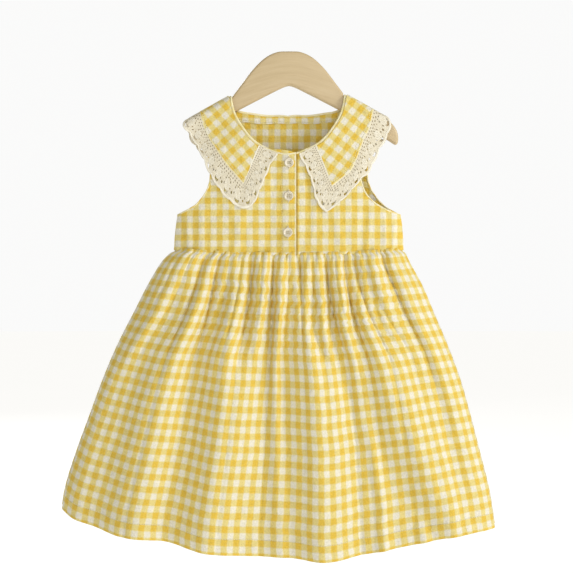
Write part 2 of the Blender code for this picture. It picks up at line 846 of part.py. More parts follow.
def skirt_pair(side, across, down):
    """The skirt wall's outer and inner points."""
    outer = skirt_point(side, across, down)
    a, b = max(0.0, across - WALL_PROBE), min(1.0, across + WALL_PROBE)
    c, d = max(0.0, down - WALL_PROBE), min(1.0, down + WALL_PROBE)
    over = skirt_point(side, b, down) - skirt_point(side, a, down)
    fall = skirt_point(side, across, d) - skirt_point(side, across, c)
    normal = over.cross(fall).normalized()
    if normal.y * side > 0:
        normal = -normal
    inner = outer - normal * WALL
    if down in (0.0, 1.0):
        inner.z = outer.z
    inner.y = -side * max(SEAM_HALF, -side * inner.y)
    return [outer, inner]


def build_skirts(cloth):
    fine, coarse = spread(2 * SKIRT_STEPS, SKIRT_CROWD), spread(SKIRT_STEPS, SKIRT_CROWD)
    for side, name in ((1, "skirt_front"), (-1, "skirt_back")):
        rows = [[skirt_pair(side, k, down) for k in fine] for down in SKIRT_FINE_ROWS]
        rows += [[skirt_pair(side, k, down) for k in coarse] for down in SKIRT_ROWS]
        sheet = Sheet()
        sheet.grid(rows)
        sheet.build(name, cloth)


def build_button(name, drop, finish):
    """A turned button: raised rim, dished middle and four holes."""
    radius = BUTTON_DIAMETER / 2
    dish = BUTTON_THICK - BUTTON_DISH
    profile = (
        # radius, height above the cloth
        (0.0, 0.0),
        (radius - BUTTON_ROUND, 0.0),
        (radius, BUTTON_BACK_ROUND),
        (radius, BUTTON_THICK - BUTTON_ROUND),
        (radius - BUTTON_ROUND, BUTTON_THICK),
        (radius - BUTTON_RIM, BUTTON_THICK),
        (radius - BUTTON_RIM - BUTTON_DISH, dish),
        (0.0, dish),
    )
    shape = bmesh.new()
    verts = [shape.verts.new((r * MM, 0.0, h * MM)) for r, h in profile]
    for a, b in zip(verts, verts[1:]):
        shape.edges.new((a, b))
    bmesh.ops.spin(
        shape,
        geom=shape.verts[:] + shape.edges[:],
        cent=(0.0, 0.0, 0.0),
        axis=(0.0, 0.0, 1.0),
        angle=2 * math.pi,
        steps=BUTTON_SIDES,
    )
    bmesh.ops.remove_doubles(shape, verts=shape.verts, dist=1e-6)
    bmesh.ops.recalc_face_normals(shape, faces=shape.faces)
    mesh = bpy.data.meshes.new(name)
    shape.to_mesh(mesh)
    shape.free()
    mesh.materials.append(finish)
    button = bpy.data.objects.new(name, mesh)
    bpy.context.scene.collection.objects.link(button)

    cutter_shape = bmesh.new()
    for quarter in range(4):
        angle = math.pi / 4 + quarter * math.pi / 2
        place = Vector((math.cos(angle), math.sin(angle), 0.0)) * BUTTON_HOLE_OUT * MM
        made = bmesh.ops.create_cone(
            cutter_shape,
            cap_ends=True,
            segments=6,
            radius1=BUTTON_HOLE / 2 * MM,
            radius2=BUTTON_HOLE / 2 * MM,
            depth=4 * BUTTON_THICK * MM,
        )
        bmesh.ops.translate(cutter_shape, vec=place, verts=made["verts"])
    cutter_mesh = bpy.data.meshes.new(name + "_holes")
    cutter_shape.to_mesh(cutter_mesh)
    cutter_shape.free()
    cutter = bpy.data.objects.new(name + "_holes", cutter_mesh)
    bpy.context.scene.collection.objects.link(cutter)
    cutter.hide_render = True
    cutter.display_type = "WIRE"
    cutter.parent = button
    holes = button.modifiers.new("holes", "BOOLEAN")
    holes.operation = "DIFFERENCE"
    holes.object = cutter
    mesh.shade_smooth()
    mesh.set_sharp_from_angle(angle=math.radians(40))

    run = run_of(BUTTON_ACROSS, drop)
    seat = bodice_lift(BUTTON_ACROSS, run, lap_rise(BUTTON_ACROSS) + GAP)
    button.location = seat * MM
    button.rotation_euler = (math.pi / 2, 0.0, 0.0)


def arch_drop(x):
    return smooth(ARCH, abs(x))


def hanger_outline():
    """The hanger's outline, clockwise from the left arm's tip, as (x, drop)."""
    under = WALL + HANGER_CLEARANCE
    slope = math.cos(math.atan(RIDGE_SLOPE))
    reach = {-1: HANGER_REACH_LEFT, 1: HANGER_REACH_RIGHT}
    corner = HANGER_NECK_CORNER
    tops = {}
    bottoms = {}
    for hand in (-1, 1):
        end = reach[hand] - HANGER_TIP_ROUND
        middle = DRESS_CENTRE + hand * corner
        steps = HANGER_ARM_STEPS
        places = [lerp(middle, hand * end, k / steps) for k in range(steps + 1)]
        tops[hand] = [(x, ridge_drop(x) + under / slope) for x in places]
        lows = [hand * end * k / (2 * steps) for k in range(1, 2 * steps + 1)]
        bottoms[hand] = [(x, hanger_under(x)) for x in lows]
    tips = {}
    for hand in (-1, 1):
        x, high = tops[hand][-1]
        low = bottoms[hand][-1][1]
        middle, half = (high + low) / 2, (low - high) / 2
        turns = [math.pi * (0.5 - k / HANGER_TIP_STEPS) for k in range(1, HANGER_TIP_STEPS)]
        tips[hand] = [
            (x + hand * HANGER_TIP_ROUND * math.cos(a), middle - half * math.sin(a)) for a in turns
        ]
    limit = ARCH[-1][0]
    steps = HANGER_ARCH_STEPS
    arch = [lerp(-limit, limit, k / steps) for k in range(steps + 1)]
    outline = tips[-1][::-1] + tops[-1][::-1]
    outline += [(x, arch_drop(x)) for x in arch]
    outline += tops[1] + tips[1] + bottoms[1][::-1]
    outline += [(0.0, hanger_under(0.0))] + bottoms[-1]
    return outline


def hanger_under(x):
    return HANGER_APEX_DROP + HANGER_UNDER_SLOPE * (
        math.hypot(x, HANGER_APEX_ROUND) - HANGER_APEX_ROUND
    )


def build_hanger(wood):
    outline = hanger_outline()
    half = HANGER_THICK / 2
    shape = bmesh.new()
    verts = [shape.verts.new((x * MM, half * MM, -drop * MM)) for x, drop in outline]
    face = shape.faces.new(verts)
    moved = bmesh.ops.extrude_face_region(shape, geom=[face])
    front = [v for v in moved["geom"] if isinstance(v, bmesh.types.BMVert)]
    bmesh.ops.translate(shape, verts=front, vec=(0.0, -HANGER_THICK * MM, 0.0))
    bmesh.ops.recalc_face_normals(shape, faces=shape.faces)
    mesh = bpy.data.meshes.new("hanger")
    shape.to_mesh(mesh)
    shape.free()
    mesh.materials.append(wood)
    hanger = bpy.data.objects.new("hanger", mesh)
    bpy.context.scene.collection.objects.link(hanger)
    edge = hanger.modifiers.new("rounded edge", "BEVEL")
    edge.width = HANGER_EDGE_ROUND * MM
    edge.segments = 2
    edge.angle_limit = math.radians(60)
    mesh.shade_smooth()
    mesh.set_sharp_from_angle(angle=math.radians(60))


def build():
    clear_scene()
    gingham = material("gingham", (0.87, 0.70, 0.28), 0.85)
    bound = material("binding", (0.93, 0.84, 0.50), 0.8)
    lace = material("lace", (0.85, 0.82, 0.74), 0.8)
    horn = material("button", (0.86, 0.81, 0.68), 0.35)
    wood = material("wood", (0.70, 0.53, 0.32), 0.45)
    build_hanger(wood)
    build_bodice(gingham)
    build_bindings(bound)
    build_facing(gingham)
    build_collars(gingham)
    build_lace(lace)
    build_skirts(gingham)
    for k, drop in enumerate(BUTTON_DROPS):
        build_button(f"button_{k + 1}", drop, horn)


build()
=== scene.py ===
"""Looks of a child's gingham dress hanging on a wooden hanger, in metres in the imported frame.

Tables hold millimetres: x across from the hanger's middle, and drop below its top. Left and
right in names are the wearer's, so "right" is at the viewer's left.
"""

import math

import bmesh
import bpy
import numpy as np
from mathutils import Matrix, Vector, noise


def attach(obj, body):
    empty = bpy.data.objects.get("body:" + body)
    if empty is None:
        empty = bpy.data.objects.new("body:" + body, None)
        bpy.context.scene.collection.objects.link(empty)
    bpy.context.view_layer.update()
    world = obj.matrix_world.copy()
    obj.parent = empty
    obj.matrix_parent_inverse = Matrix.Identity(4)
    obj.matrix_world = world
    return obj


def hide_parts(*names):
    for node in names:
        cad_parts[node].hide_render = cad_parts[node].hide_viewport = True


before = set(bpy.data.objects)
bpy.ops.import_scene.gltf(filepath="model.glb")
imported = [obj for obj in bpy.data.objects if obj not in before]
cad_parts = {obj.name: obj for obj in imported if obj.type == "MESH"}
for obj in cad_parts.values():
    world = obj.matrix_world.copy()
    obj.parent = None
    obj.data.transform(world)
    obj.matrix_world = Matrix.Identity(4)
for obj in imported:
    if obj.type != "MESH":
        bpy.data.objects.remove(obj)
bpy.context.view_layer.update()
MM = 0.001


# The hanger is one flat plank of pale beech, sawn to an arch with two sloping arms, its edges
# rounded over and the whole sanded and left with a thin clear finish. The dress's shoulders
# lie on its arms.
ARCH = (
    # across, drop: half of the top edge
    (0.0, 0.0), (15.0, 1.0), (30.0, 8.2), (45.0, 22.5), (60.0, 42.0), (68.0, 52.5),
)
HANGER_THICK = 10.0
HANGER_EDGE_ROUND = 3.2
HANGER_ARM_TOP = 2.6
HANGER_REACH = {-1: 124.0, 1: 137.5}
HANGER_TIP_ROUND = 8.0
HANGER_APEX_DROP = 43.5
HANGER_APEX_ROUND = 5.0
HANGER_UNDER_SLOPE = 0.52
HANGER_NECK_CORNER = 70.4
HANGER_TIP_STEPS = 16
HANGER_ARCH_STEPS = 80
HANGER_TIP = (
    # across, drop: round the left arm's tip, from its top edge to its underside
    (128.5, 89.9), (132.5, 94.6), (135.6, 100.0), (137.2, 105.5), (137.5, 111.0),
    (136.7, 115.6), (134.6, 117.6), (131.6, 116.7), (126.0, 113.0), (118.0, 108.3),
    (108.0, 101.6),
)
RIDGE_TOP_DROP = 10.7
RIDGE_SLOPE = 0.585
RIDGE_ROUND = 25.0
DRESS_CENTRE = -1.5


class Value:
    """A node's output. Arithmetic on it adds Math nodes."""

    def __init__(self, tree, socket):
        self.tree = tree
        self.socket = socket

    def node(self, kind, settings=None, sockets=None):
        """Adds a node: its type, its settings and the values or links of its sockets."""
        made = self.tree.nodes.new(kind)
        for name, value in (settings or {}).items():
            setattr(made, name, value)
        for key, value in (sockets or {}).items():
            if isinstance(value, Value):
                self.tree.links.new(value.socket, made.inputs[key])
            else:
                made.inputs[key].default_value = value
        return Value(self.tree, made.outputs[0])

    def out(self, key):
        return Value(self.tree, self.socket.node.outputs[key])

    def maths(self, operation, *values):
        return self.node("ShaderNodeMath", {"operation": operation}, dict(enumerate(values)))

    def __add__(self, other):
        return self.maths("ADD", self, other)

    def __sub__(self, other):
        return self.maths("SUBTRACT", self, other)

    def __rsub__(self, other):
        return self.maths("SUBTRACT", other, self)

    def __mul__(self, other):
        return self.maths("MULTIPLY", self, other)

    def __truediv__(self, other):
        return self.maths("DIVIDE", self, other)

    __radd__, __rmul__ = __add__, __mul__

    def place(self):
        """The place on the object, in metres."""
        return self.node("ShaderNodeTexCoord").out("Object")

    def sheet_map(self, name):
        """The place on this map of the sheet, in metres."""
        return self.node("ShaderNodeUVMap", {"uv_map": name})

    def parts(self):
        """The three parts of this vector."""
        split = self.node("ShaderNodeSeparateXYZ", {}, {0: self})
        return [split.out(k) for k in range(3)]

    def size(self):
        return self.maths("ABSOLUTE", self)

    def wave(self, length):
        """A sine of this wavelength."""
        return self.maths("SINE", self * (2 * math.pi / length))

    def within(self, low, high):
        """0 below low, 1 above high, and even between them. high may be under low."""
        sockets = {"Value": self, "From Min": low, "From Max": high}
        if high < low:
            sockets = {"Value": self, "From Min": high, "From Max": low, 3: 1.0, 4: 0.0}
        return self.node("ShaderNodeMapRange", {"clamp": True}, sockets)

    def scaled(self, factor):
        """A colour or vector times a number."""
        settings = {"operation": "SCALE"}
        return self.node("ShaderNodeVectorMath", settings, {0: self, "Scale": factor})

    def mixed(self, other, factor):
        """This colour going over to the other one."""
        sockets = {0: factor, 6: self, 7: (*other, 1.0)}
        return self.node("ShaderNodeMix", {"data_type": "RGBA"}, sockets).out(2)

    def ramp(self, *colours):
        """These colours, evenly spaced as this number goes from 0 to 1."""
        made = self.node("ShaderNodeValToRGB", {}, {0: self})
        stops = made.socket.node.color_ramp.elements
        while len(stops) < len(colours):
            stops.new(0.5)
        for k, (stop, colour) in enumerate(zip(stops, colours)):
            stop.position = k / (len(colours) - 1)
            stop.color = (*colour, 1.0)
        return made

    def noise(self, scale, detail=2.0, stretch=(1.0, 1.0, 1.0)):
        """Noise on this vector, from about 0.3 to 0.7, drawn out along an axis by stretch."""
        placed = self.node("ShaderNodeVectorMath", {"operation": "MULTIPLY"}, {0: self, 1: stretch})
        sockets = {"Vector": placed, "Scale": scale, "Detail": detail}
        return self.node("ShaderNodeTexNoise", {"noise_dimensions": "3D"}, sockets)


def finish(name, roughness):
    """A new material: itself, its shader and a first value to build from."""
    made = bpy.data.materials.new(name)
    made.use_nodes = True
    tree = made.node_tree
    shader = tree.nodes["Principled BSDF"]
    shader.inputs["Roughness"].default_value = roughness
    return made, shader, Value(tree, None)


def link(value, socket):
    value.tree.links.new(value.socket, socket)


def bumped(shader, height, distance, strength=1.0):
    """Relief: height from 0 to 1 stands distance metres proud."""
    sockets = {"Height": height, "Distance": distance, "Strength": strength}
    link(height.node("ShaderNodeBump", {}, sockets), shader.inputs["Normal"])


def lerp(low, high, share):
    return low + (high - low) * share


def ease(share):
    share = np.clip(share, 0.0, 1.0)
    return share * share * (3.0 - 2.0 * share)


def smooth(table, at, column=1):
    """The table's column at this value of its first column, on a smooth line."""
    rows = sorted(table)
    at = min(rows[-1][0], max(rows[0][0], at))
    last = len(rows) - 1
    k = 0
    while k < last - 1 and at > rows[k + 1][0]:
        k += 1

    def slope(i):
        low, high = rows[max(0, i - 1)], rows[min(last, i + 1)]
        return (high[column] - low[column]) / (high[0] - low[0])

    step = rows[k + 1][0] - rows[k][0]
    t = (at - rows[k][0]) / step
    value = rows[k][column] * (1 + 2 * t) * (1 - t) ** 2
    value += rows[k + 1][column] * t * t * (3 - 2 * t)
    value += slope(k) * step * t * (1 - t) ** 2
    return value - slope(k + 1) * step * t * t * (1 - t)


def ridge_drop(x):
    """The shoulder line that the hanger's arms carry."""
    return RIDGE_TOP_DROP + RIDGE_SLOPE * math.hypot(x, RIDGE_ROUND)


def under_drop(x):
    off = math.hypot(x, HANGER_APEX_ROUND) - HANGER_APEX_ROUND
    return HANGER_APEX_DROP + HANGER_UNDER_SLOPE * off


def hanger_outline():
    """The plank's edge, clockwise from the right arm's tip, as (x, drop)."""
    tops, unders = {}, {}
    for hand in (-1, 1):
        end = hand * (HANGER_REACH[hand] - HANGER_TIP_ROUND)
        start = DRESS_CENTRE + hand * HANGER_NECK_CORNER
        arm = [lerp(start, end, k / 8) for k in range(9)]
        tops[hand] = [(x, ridge_drop(x) + HANGER_ARM_TOP) for x in arm]
        unders[hand] = [(end * k / 40, under_drop(end * k / 40)) for k in range(1, 41)]
    (_, high), (end, low) = tops[-1][-1], unders[-1][-1]
    right_tip = []
    for k in range(1, HANGER_TIP_STEPS):
        turn = math.pi * (0.5 - k / HANGER_TIP_STEPS)
        drop = (high + low) / 2 - (low - high) / 2 * math.sin(turn)
        right_tip.append((end - HANGER_TIP_ROUND * math.cos(turn), drop))
    tops[1] = [point for point in tops[1] if point[0] < HANGER_TIP[0][0] - 2.0]
    unders[1] = [point for point in unders[1] if point[0] < HANGER_TIP[-1][0] - 4.0]
    table = [(k, *point) for k, point in enumerate(HANGER_TIP)]
    places = [(len(table) - 1) * k / 40 for k in range(41)]
    left_tip = [(smooth(table, place), smooth(table, place, 2)) for place in places]
    limit = ARCH[-1][0]
    arch = [lerp(-limit, limit, k / HANGER_ARCH_STEPS) for k in range(HANGER_ARCH_STEPS + 1)]
    outline = right_tip[::-1] + tops[-1][::-1] + [(x, smooth(ARCH, abs(x))) for x in arch]
    return outline + tops[1] + left_tip + unders[1][::-1] + [(0.0, under_drop(0.0))] + unders[-1]


def placed(name, data):
    """A new object in the scene, the only one selected."""
    bpy.ops.object.select_all(action="DESELECT")
    made = bpy.data.objects.new(name, data)
    bpy.context.scene.collection.objects.link(made)
    made.select_set(True)
    bpy.context.view_layer.objects.active = made
    return made


def welded(piece, angle, nearest=1e-5):
    """Doubles joined, normals out, and smooth but at edges sharper than the angle."""
    bpy.ops.object.mode_set(mode="EDIT")
    bpy.ops.mesh.select_all(action="SELECT")
    bpy.ops.mesh.remove_doubles(threshold=nearest)
    bpy.ops.mesh.normals_make_consistent(inside=False)
    bpy.ops.object.mode_set(mode="OBJECT")
    bpy.ops.object.shade_smooth_by_angle(angle=math.radians(angle))
    return piece


def plank(name, outline, thick, edge_round):
    """A flat board: the outline as a filled flat curve, given its thickness and round edges."""
    curve = bpy.data.curves.new(name, "CURVE")
    curve.dimensions = "2D"
    curve.fill_mode = "BOTH"
    line = curve.splines.new("POLY")
    line.points.add(len(outline) - 1)
    for point, (x, drop) in zip(line.points, outline):
        point.co = (x * MM, -drop * MM, 0.0, 1.0)
    line.use_cyclic_u = True
    curve.extrude = (thick / 2 - edge_round) * MM
    curve.bevel_depth = edge_round * MM
    curve.offset = -edge_round * MM
    curve.bevel_resolution = 5
    board = placed(name, curve)
    board.rotation_euler = (math.pi / 2, 0.0, 0.0)
    bpy.ops.object.convert(target="MESH")
    bpy.ops.object.transform_apply(location=True, rotation=True, scale=True)
    return welded(board, 40)


def beech():
    """Pale wood: long grain bent a little with the arch, fine pores, a low satin sheen."""
    made, shader, value = finish("beech", 0.42)
    x, y, z = value.place().parts()
    bent = z + (x * x).maths("SQRT", x * x + 0.0009) * 0.42
    grainwise = x.node("ShaderNodeCombineXYZ", {}, {0: x, 1: y, 2: bent})
    bands = grainwise.noise(24.0, 3.0, (0.6, 1.0, 7.0))
    fine = grainwise.noise(420.0, 2.0, (0.06, 1.0, 1.0))
    pores = grainwise.noise(900.0, 1.0, (0.05, 1.0, 1.0)).within(0.56, 0.72)
    grain = (bands * 0.6 + fine * 0.4).within(0.3, 0.7)
    colour = grain.ramp((0.52, 0.395, 0.215), (0.565, 0.435, 0.245), (0.61, 0.48, 0.285))
    link(colour.mixed((0.42, 0.29, 0.15), pores * 0.22), shader.inputs["Base Color"])
    link(0.36 + fine * 0.16, shader.inputs["Roughness"])
    bumped(shader, grain * 0.3 + fine * 0.7, 0.0002, 0.35)
    return made


hanger = plank("hanger_wood", hanger_outline(), HANGER_THICK, HANGER_EDGE_ROUND)
hanger.data.materials.append(beech())
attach(hanger, "root")
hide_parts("hanger")


# The bodice is three flat pieces of thin cotton gingham on the straight grain: two fronts, of
# which the wearer's right one laps over the left, and a back. They are sewn at the sides and
# shoulders and hang from the hanger's arms.
WALL = 1.0
SEAM_HALF = 0.25
SHOULDER_RADIUS = 9.0
SHOULDER_TO_CHEST = 75.0
BODICE_DEPTH = 17.5
BODICE_EDGE_POWER = 3.0
WAIST_DROP = 257.3
WAIST_RISE = 7.0
WAIST_POWER = 2.2
EDGE_INSET = 1.2
LAP_EDGE = 8.8
LAP_UNDER = -2.5
LAP_RISE = 1.8
LAP_RAMP = 8.0
NECK_AT_SHOULDER = 71.6
SHOULDER_TIP = 112.5
FAR_OFF = 1.0
PUCKER_HEIGHT = 0.6
PUCKER_REACH = 9.0
BODICE_CRINKLE = 0.35
ARMHOLE_STEPS = 44
NECK_STEPS = 28
SEAM_STEPS = 30
PANEL_COLUMNS = 73

FRONT_NECK = (
    # half width, drop
    (66.8, 75.0), (57.0, 94.0), (44.0, 110.5), (31.0, 119.8), (15.0, 127.0), (0.0, 129.5),
)
BACK_NECK = (
    # half width, drop
    (69.0, 66.0), (62.0, 72.8), (48.0, 75.5), (24.0, 78.3), (0.0, 79.3),
)
ARMHOLES = {
    # piece: (across, drop) rows from the shoulder's tip to the side seam
    "front_right": (
        (-108.5, 100.0), (-103.5, 122.0), (-100.3, 143.0), (-99.5, 159.4), (-103.3, 174.5),
        (-114.7, 190.5), (-126.5, 198.5), (-140.3, 204.8),
    ),
    "front_left": (
        (104.0, 98.0), (96.0, 120.0), (91.0, 142.0), (90.8, 162.0), (95.8, 177.0),
        (105.5, 188.5), (121.0, 198.0), (139.0, 204.8),
    ),
    "back_right": (
        (-107.5, 100.0), (-102.0, 122.0), (-98.0, 143.0), (-97.5, 159.4), (-102.0, 174.5),
        (-113.0, 190.5), (-125.5, 198.5), (-140.3, 204.8),
    ),
    "back_left": (
        (108.5, 98.0), (103.0, 120.0), (100.5, 142.0), (100.6, 159.4), (105.8, 174.5),
        (117.2, 189.6), (127.0, 197.6), (139.0, 204.8),
    ),
}
BODICE_SIDES = (
    # drop, left x, right x
    (200.0, -139.8, 138.6),
    (212.0, -141.5, 141.8),
    (232.0, -143.8, 143.6),
    (258.0, -144.6, 144.2),
)
FRONT_CREASES = (
    # from across, drop, to across, drop, half width, height
    (119.0, 207.0, 122.0, 254.0, 4.5, 1.5),
    (132.0, 212.0, 131.0, 252.0, 4.0, 1.2),
    (-108.0, 200.0, -112.0, 250.0, 9.0, 1.3),
    (-60.0, 205.0, -66.0, 254.0, 11.0, 1.2),
    (28.0, 150.0, 22.0, 240.0, 8.0, -1.2),
    (60.0, 212.0, 66.0, 254.0, 9.0, 1.4),
    (95.0, 190.0, 90.0, 250.0, 9.0, -1.2),
    (-92.0, 165.0, -60.0, 225.0, 12.0, 1.2),
    (-20.0, 150.0, -26.0, 250.0, 9.0, -0.8),
    (-128.0, 215.0, -124.0, 252.0, 6.0, 1.2),
)
BACK_CREASES = (
    # from across, drop, to across, drop, half width, height
    (-20.0, 160.0, -34.0, 250.0, 13.0, 1.0),
    (48.0, 170.0, 40.0, 252.0, 12.0, 0.9),
    (-90.0, 180.0, -84.0, 252.0, 10.0, -0.8),
    (92.0, 180.0, 96.0, 250.0, 10.0, 0.9),
)


def along(points, share):
    """The point this share of the way along a smooth line through the points."""
    lengths = [0.0]
    for a, b in zip(points, points[1:]):
        lengths.append(lengths[-1] + math.dist(a, b))
    table = [(lengths[i], *points[i]) for i in range(len(points))]
    return tuple(smooth(table, share * lengths[-1], 1 + c) for c in range(len(points[0])))


def run_of(x, drop, side=1):
    """Distance over the cloth from the shoulder ridge, positive in front, negative behind."""
    below = drop - ridge_drop(x)
    if below < SHOULDER_RADIUS:
        return side * SHOULDER_RADIUS * math.acos(1.0 - max(0.0, below) / SHOULDER_RADIUS)
    return side * (below + SHOULDER_RADIUS * (math.pi / 2 - 1.0))


def drop_of(x, run):
    run = abs(run)
    if run < SHOULDER_RADIUS * math.pi / 2:
        return ridge_drop(x) + SHOULDER_RADIUS * (1.0 - math.cos(run / SHOULDER_RADIUS))
    return ridge_drop(x) + run - SHOULDER_RADIUS * (math.pi / 2 - 1.0)


def bodice_point(x, run):
    """A place on the bodice's plain form."""
    drop = drop_of(x, run)
    half = smooth(BODICE_SIDES, drop, 1 if x < DRESS_CENTRE else 2) - DRESS_CENTRE
    share = min(1.0, abs((x - DRESS_CENTRE) / half))
    full = BODICE_DEPTH * math.sqrt(1.0 - share**BODICE_EDGE_POWER) - SHOULDER_RADIUS
    depth = SHOULDER_RADIUS * math.sin(min(math.pi / 2, abs(run) / SHOULDER_RADIUS))
    depth += full * ease((drop - ridge_drop(x)) / SHOULDER_TO_CHEST)
    depth += SEAM_HALF * ease(abs(run) / SHOULDER_RADIUS)
    return Vector((x, -math.copysign(depth, run), -drop))


def bodice_lift(x, run, height, step=0.05):
    """A place this far outside the bodice's plain form."""
    drop = drop_of(x, run)
    low, high = smooth(BODICE_SIDES, drop, 1), smooth(BODICE_SIDES, drop, 2)
    across = bodice_point(min(high, x + step), run) - bodice_point(max(low, x - step), run)
    down = bodice_point(x, run + step) - bodice_point(x, run - step)
    return bodice_point(x, run) + down.cross(across).normalized() * height


def on_bodice(rows, side):
    return [(x, run_of(x, drop, side)) for x, drop in rows]


def sampled(points, steps, crowd=1.0):
    """Even steps along a line, or steps that crowd towards its end."""
    return [along(points, 1.0 - (1.0 - k / steps) ** crowd) for k in range(steps + 1)]


def beside(line, distance, first, last):
    """The line moved sideways, with its two ends placed where given."""
    moved = []
    for i, (x, run) in enumerate(line):
        before, after = line[max(0, i - 1)], line[min(len(line) - 1, i + 1)]
        dx, drun = after[0] - before[0], after[1] - before[1]
        size = math.hypot(dx, drun)
        moved.append((x - drun / size * distance, run + dx / size * distance))
    moved[0], moved[-1] = first, last
    return moved


def neck_line(hand, side, start, distance, steps, crowd=1.6):
    """The neck's edge from x = start to the shoulder, moved out from the neck by distance."""
    table = FRONT_NECK if side > 0 else BACK_NECK
    from_half = hand * (start - DRESS_CENTRE)
    start_drop = smooth(table, abs(from_half))
    rows = [(start, start_drop)]
    rows += [
        (DRESS_CENTRE + hand * half, drop)
        for half, drop in table[::-1]
        if half > from_half + 2.0
    ]
    line = on_bodice(rows, side) + [(DRESS_CENTRE + hand * NECK_AT_SHOULDER, 0.0)]
    line = sampled(line, steps, crowd)
    first = (start, run_of(start, start_drop + distance, side))
    last = (line[-1][0] + hand * distance, 0.0)
    return beside(line, hand * side * distance, first, last)


def armhole_line(name, distance, steps, crowd=1.7):
    """An armhole's edge from the side seam to the shoulder, moved into the cloth."""
    rows = ARMHOLES[name][::-1]
    hand = math.copysign(1.0, rows[0][0])
    side = 1 if name.startswith("front") else -1
    column = 1 if hand < 0 else 2
    bottom = rows[0][1] + distance
    foot = (smooth(BODICE_SIDES, bottom, column), bottom)
    rows = ((smooth(BODICE_SIDES, rows[0][1], column), rows[0][1]),) + rows[1:]
    line = on_bodice(rows, side) + [(hand * SHOULDER_TIP, 0.0)]
    line = sampled(line, steps, crowd)
    first = (foot[0], run_of(*foot, side))
    last = (line[-1][0] - hand * distance, 0.0)
    return beside(line, -hand * side * distance, first, last)


def waist_drop(x):
    half = smooth(BODICE_SIDES, WAIST_DROP, 1 if x < DRESS_CENTRE else 2) - DRESS_CENTRE
    return WAIST_DROP - WAIST_RISE * abs((x - DRESS_CENTRE) / half) ** WAIST_POWER


def lap_rise(x):
    """How far the lapping front lies above the one under it."""
    return LAP_RISE * ease((x - LAP_UNDER + LAP_RAMP) / LAP_RAMP)


def crease_height(creases, x, drop):
    """The soft creases and the small puckers over the waist seam."""
    height = 0.0
    for x0, drop0, x1, drop1, half, tall in creases:
        share = (drop - drop0) / (drop1 - drop0)
        off = abs(x - lerp(x0, x1, share)) / half
        if off < 1.0 and -0.3 < share < 1.3:
            ends = ease((share + 0.3) / 0.6) * ease((1.3 - share) / 0.5)
            height += tall * (0.5 + 0.5 * math.cos(math.pi * off)) * ends
    above = waist_drop(x) - drop
    pucker = math.cos(x * 0.53 + 1.4 * math.sin(x * 0.11)) * math.exp(-above / PUCKER_REACH)
    crinkle = noise.noise(Vector((x * 0.06, drop * 0.11, 2.0)))
    crinkle += 0.6 * noise.noise(Vector((x * 0.15, drop * 0.19, 5.0)))
    return height + PUCKER_HEIGHT * pucker + BODICE_CRINKLE * crinkle


def surface(name, points, faces, sharpest):
    """A piece from places in mm: normals out, smooth but at edges sharper than the angle."""
    mesh = bpy.data.meshes.new(name)
    mesh.from_pydata((np.array(points) * MM).tolist(), [], faces)
    shape = bmesh.new()
    shape.from_mesh(mesh)
    bmesh.ops.recalc_face_normals(shape, faces=shape.faces)
    shape.to_mesh(mesh)
    shape.free()
    mesh.shade_smooth()
    mesh.set_sharp_from_angle(angle=math.radians(sharpest))
    piece = placed(name, mesh)
    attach(piece, "root")
    return piece


def cloth(name, grids, finish_made):
    """A thin closed shell. Each grid has outer and inner places in mm, and flat and edge
    places in m: where it lay on the flat cloth, and its distance along and from the sewn edge.
    Two grids are joined where they meet.
    """
    outer, inner, flat, edge = (
        np.concatenate([grid[part].reshape(-1, grid[part].shape[-1]) for grid in grids])
        for part in range(4)
    )
    quads, first = [], 0
    for grid in grids:
        rows, columns = grid[0].shape[:2]
        index = first + np.arange(rows * columns).reshape(rows, columns)
        quads += [index[:-1, :-1], index[:-1, 1:], index[1:, 1:], index[1:, :-1]]
        first += rows * columns
    quads = np.concatenate(
        [np.stack(quads[k : k + 4], axis=-1).reshape(-1, 4) for k in range(0, len(quads), 4)]
    )
    if len(grids) > 1:
        rounded = np.round(outer, 4)
        _, kept, again = np.unique(rounded, axis=0, return_index=True, return_inverse=True)
        quads = again.ravel()[quads]
        outer, inner, flat, edge = outer[kept], inner[kept], flat[kept], edge[kept]
    count = len(outer)
    lines = np.sort(np.stack([quads, np.roll(quads, -1, axis=1)], axis=-1).reshape(-1, 2), axis=1)
    lines, uses = np.unique(lines, axis=0, return_counts=True)
    near, far = lines[uses == 1].T
    sides = np.stack([near, far, far + count, near + count], axis=-1)
    faces = np.concatenate([quads, quads[:, ::-1] + count, sides])
    piece = surface(name, np.concatenate([outer, inner]), faces.tolist(), 60)
    mesh = piece.data
    mesh.materials.append(finish_made)
    corners = np.empty(len(mesh.loops), dtype=np.int32)
    mesh.loops.foreach_get("vertex_index", corners)
    for map_name, places in (("flat", flat), ("edge", edge)):
        layer = mesh.uv_layers.new(name=map_name)
        layer.uv.foreach_set("vector", np.concatenate([places, places])[corners].ravel())
    return piece


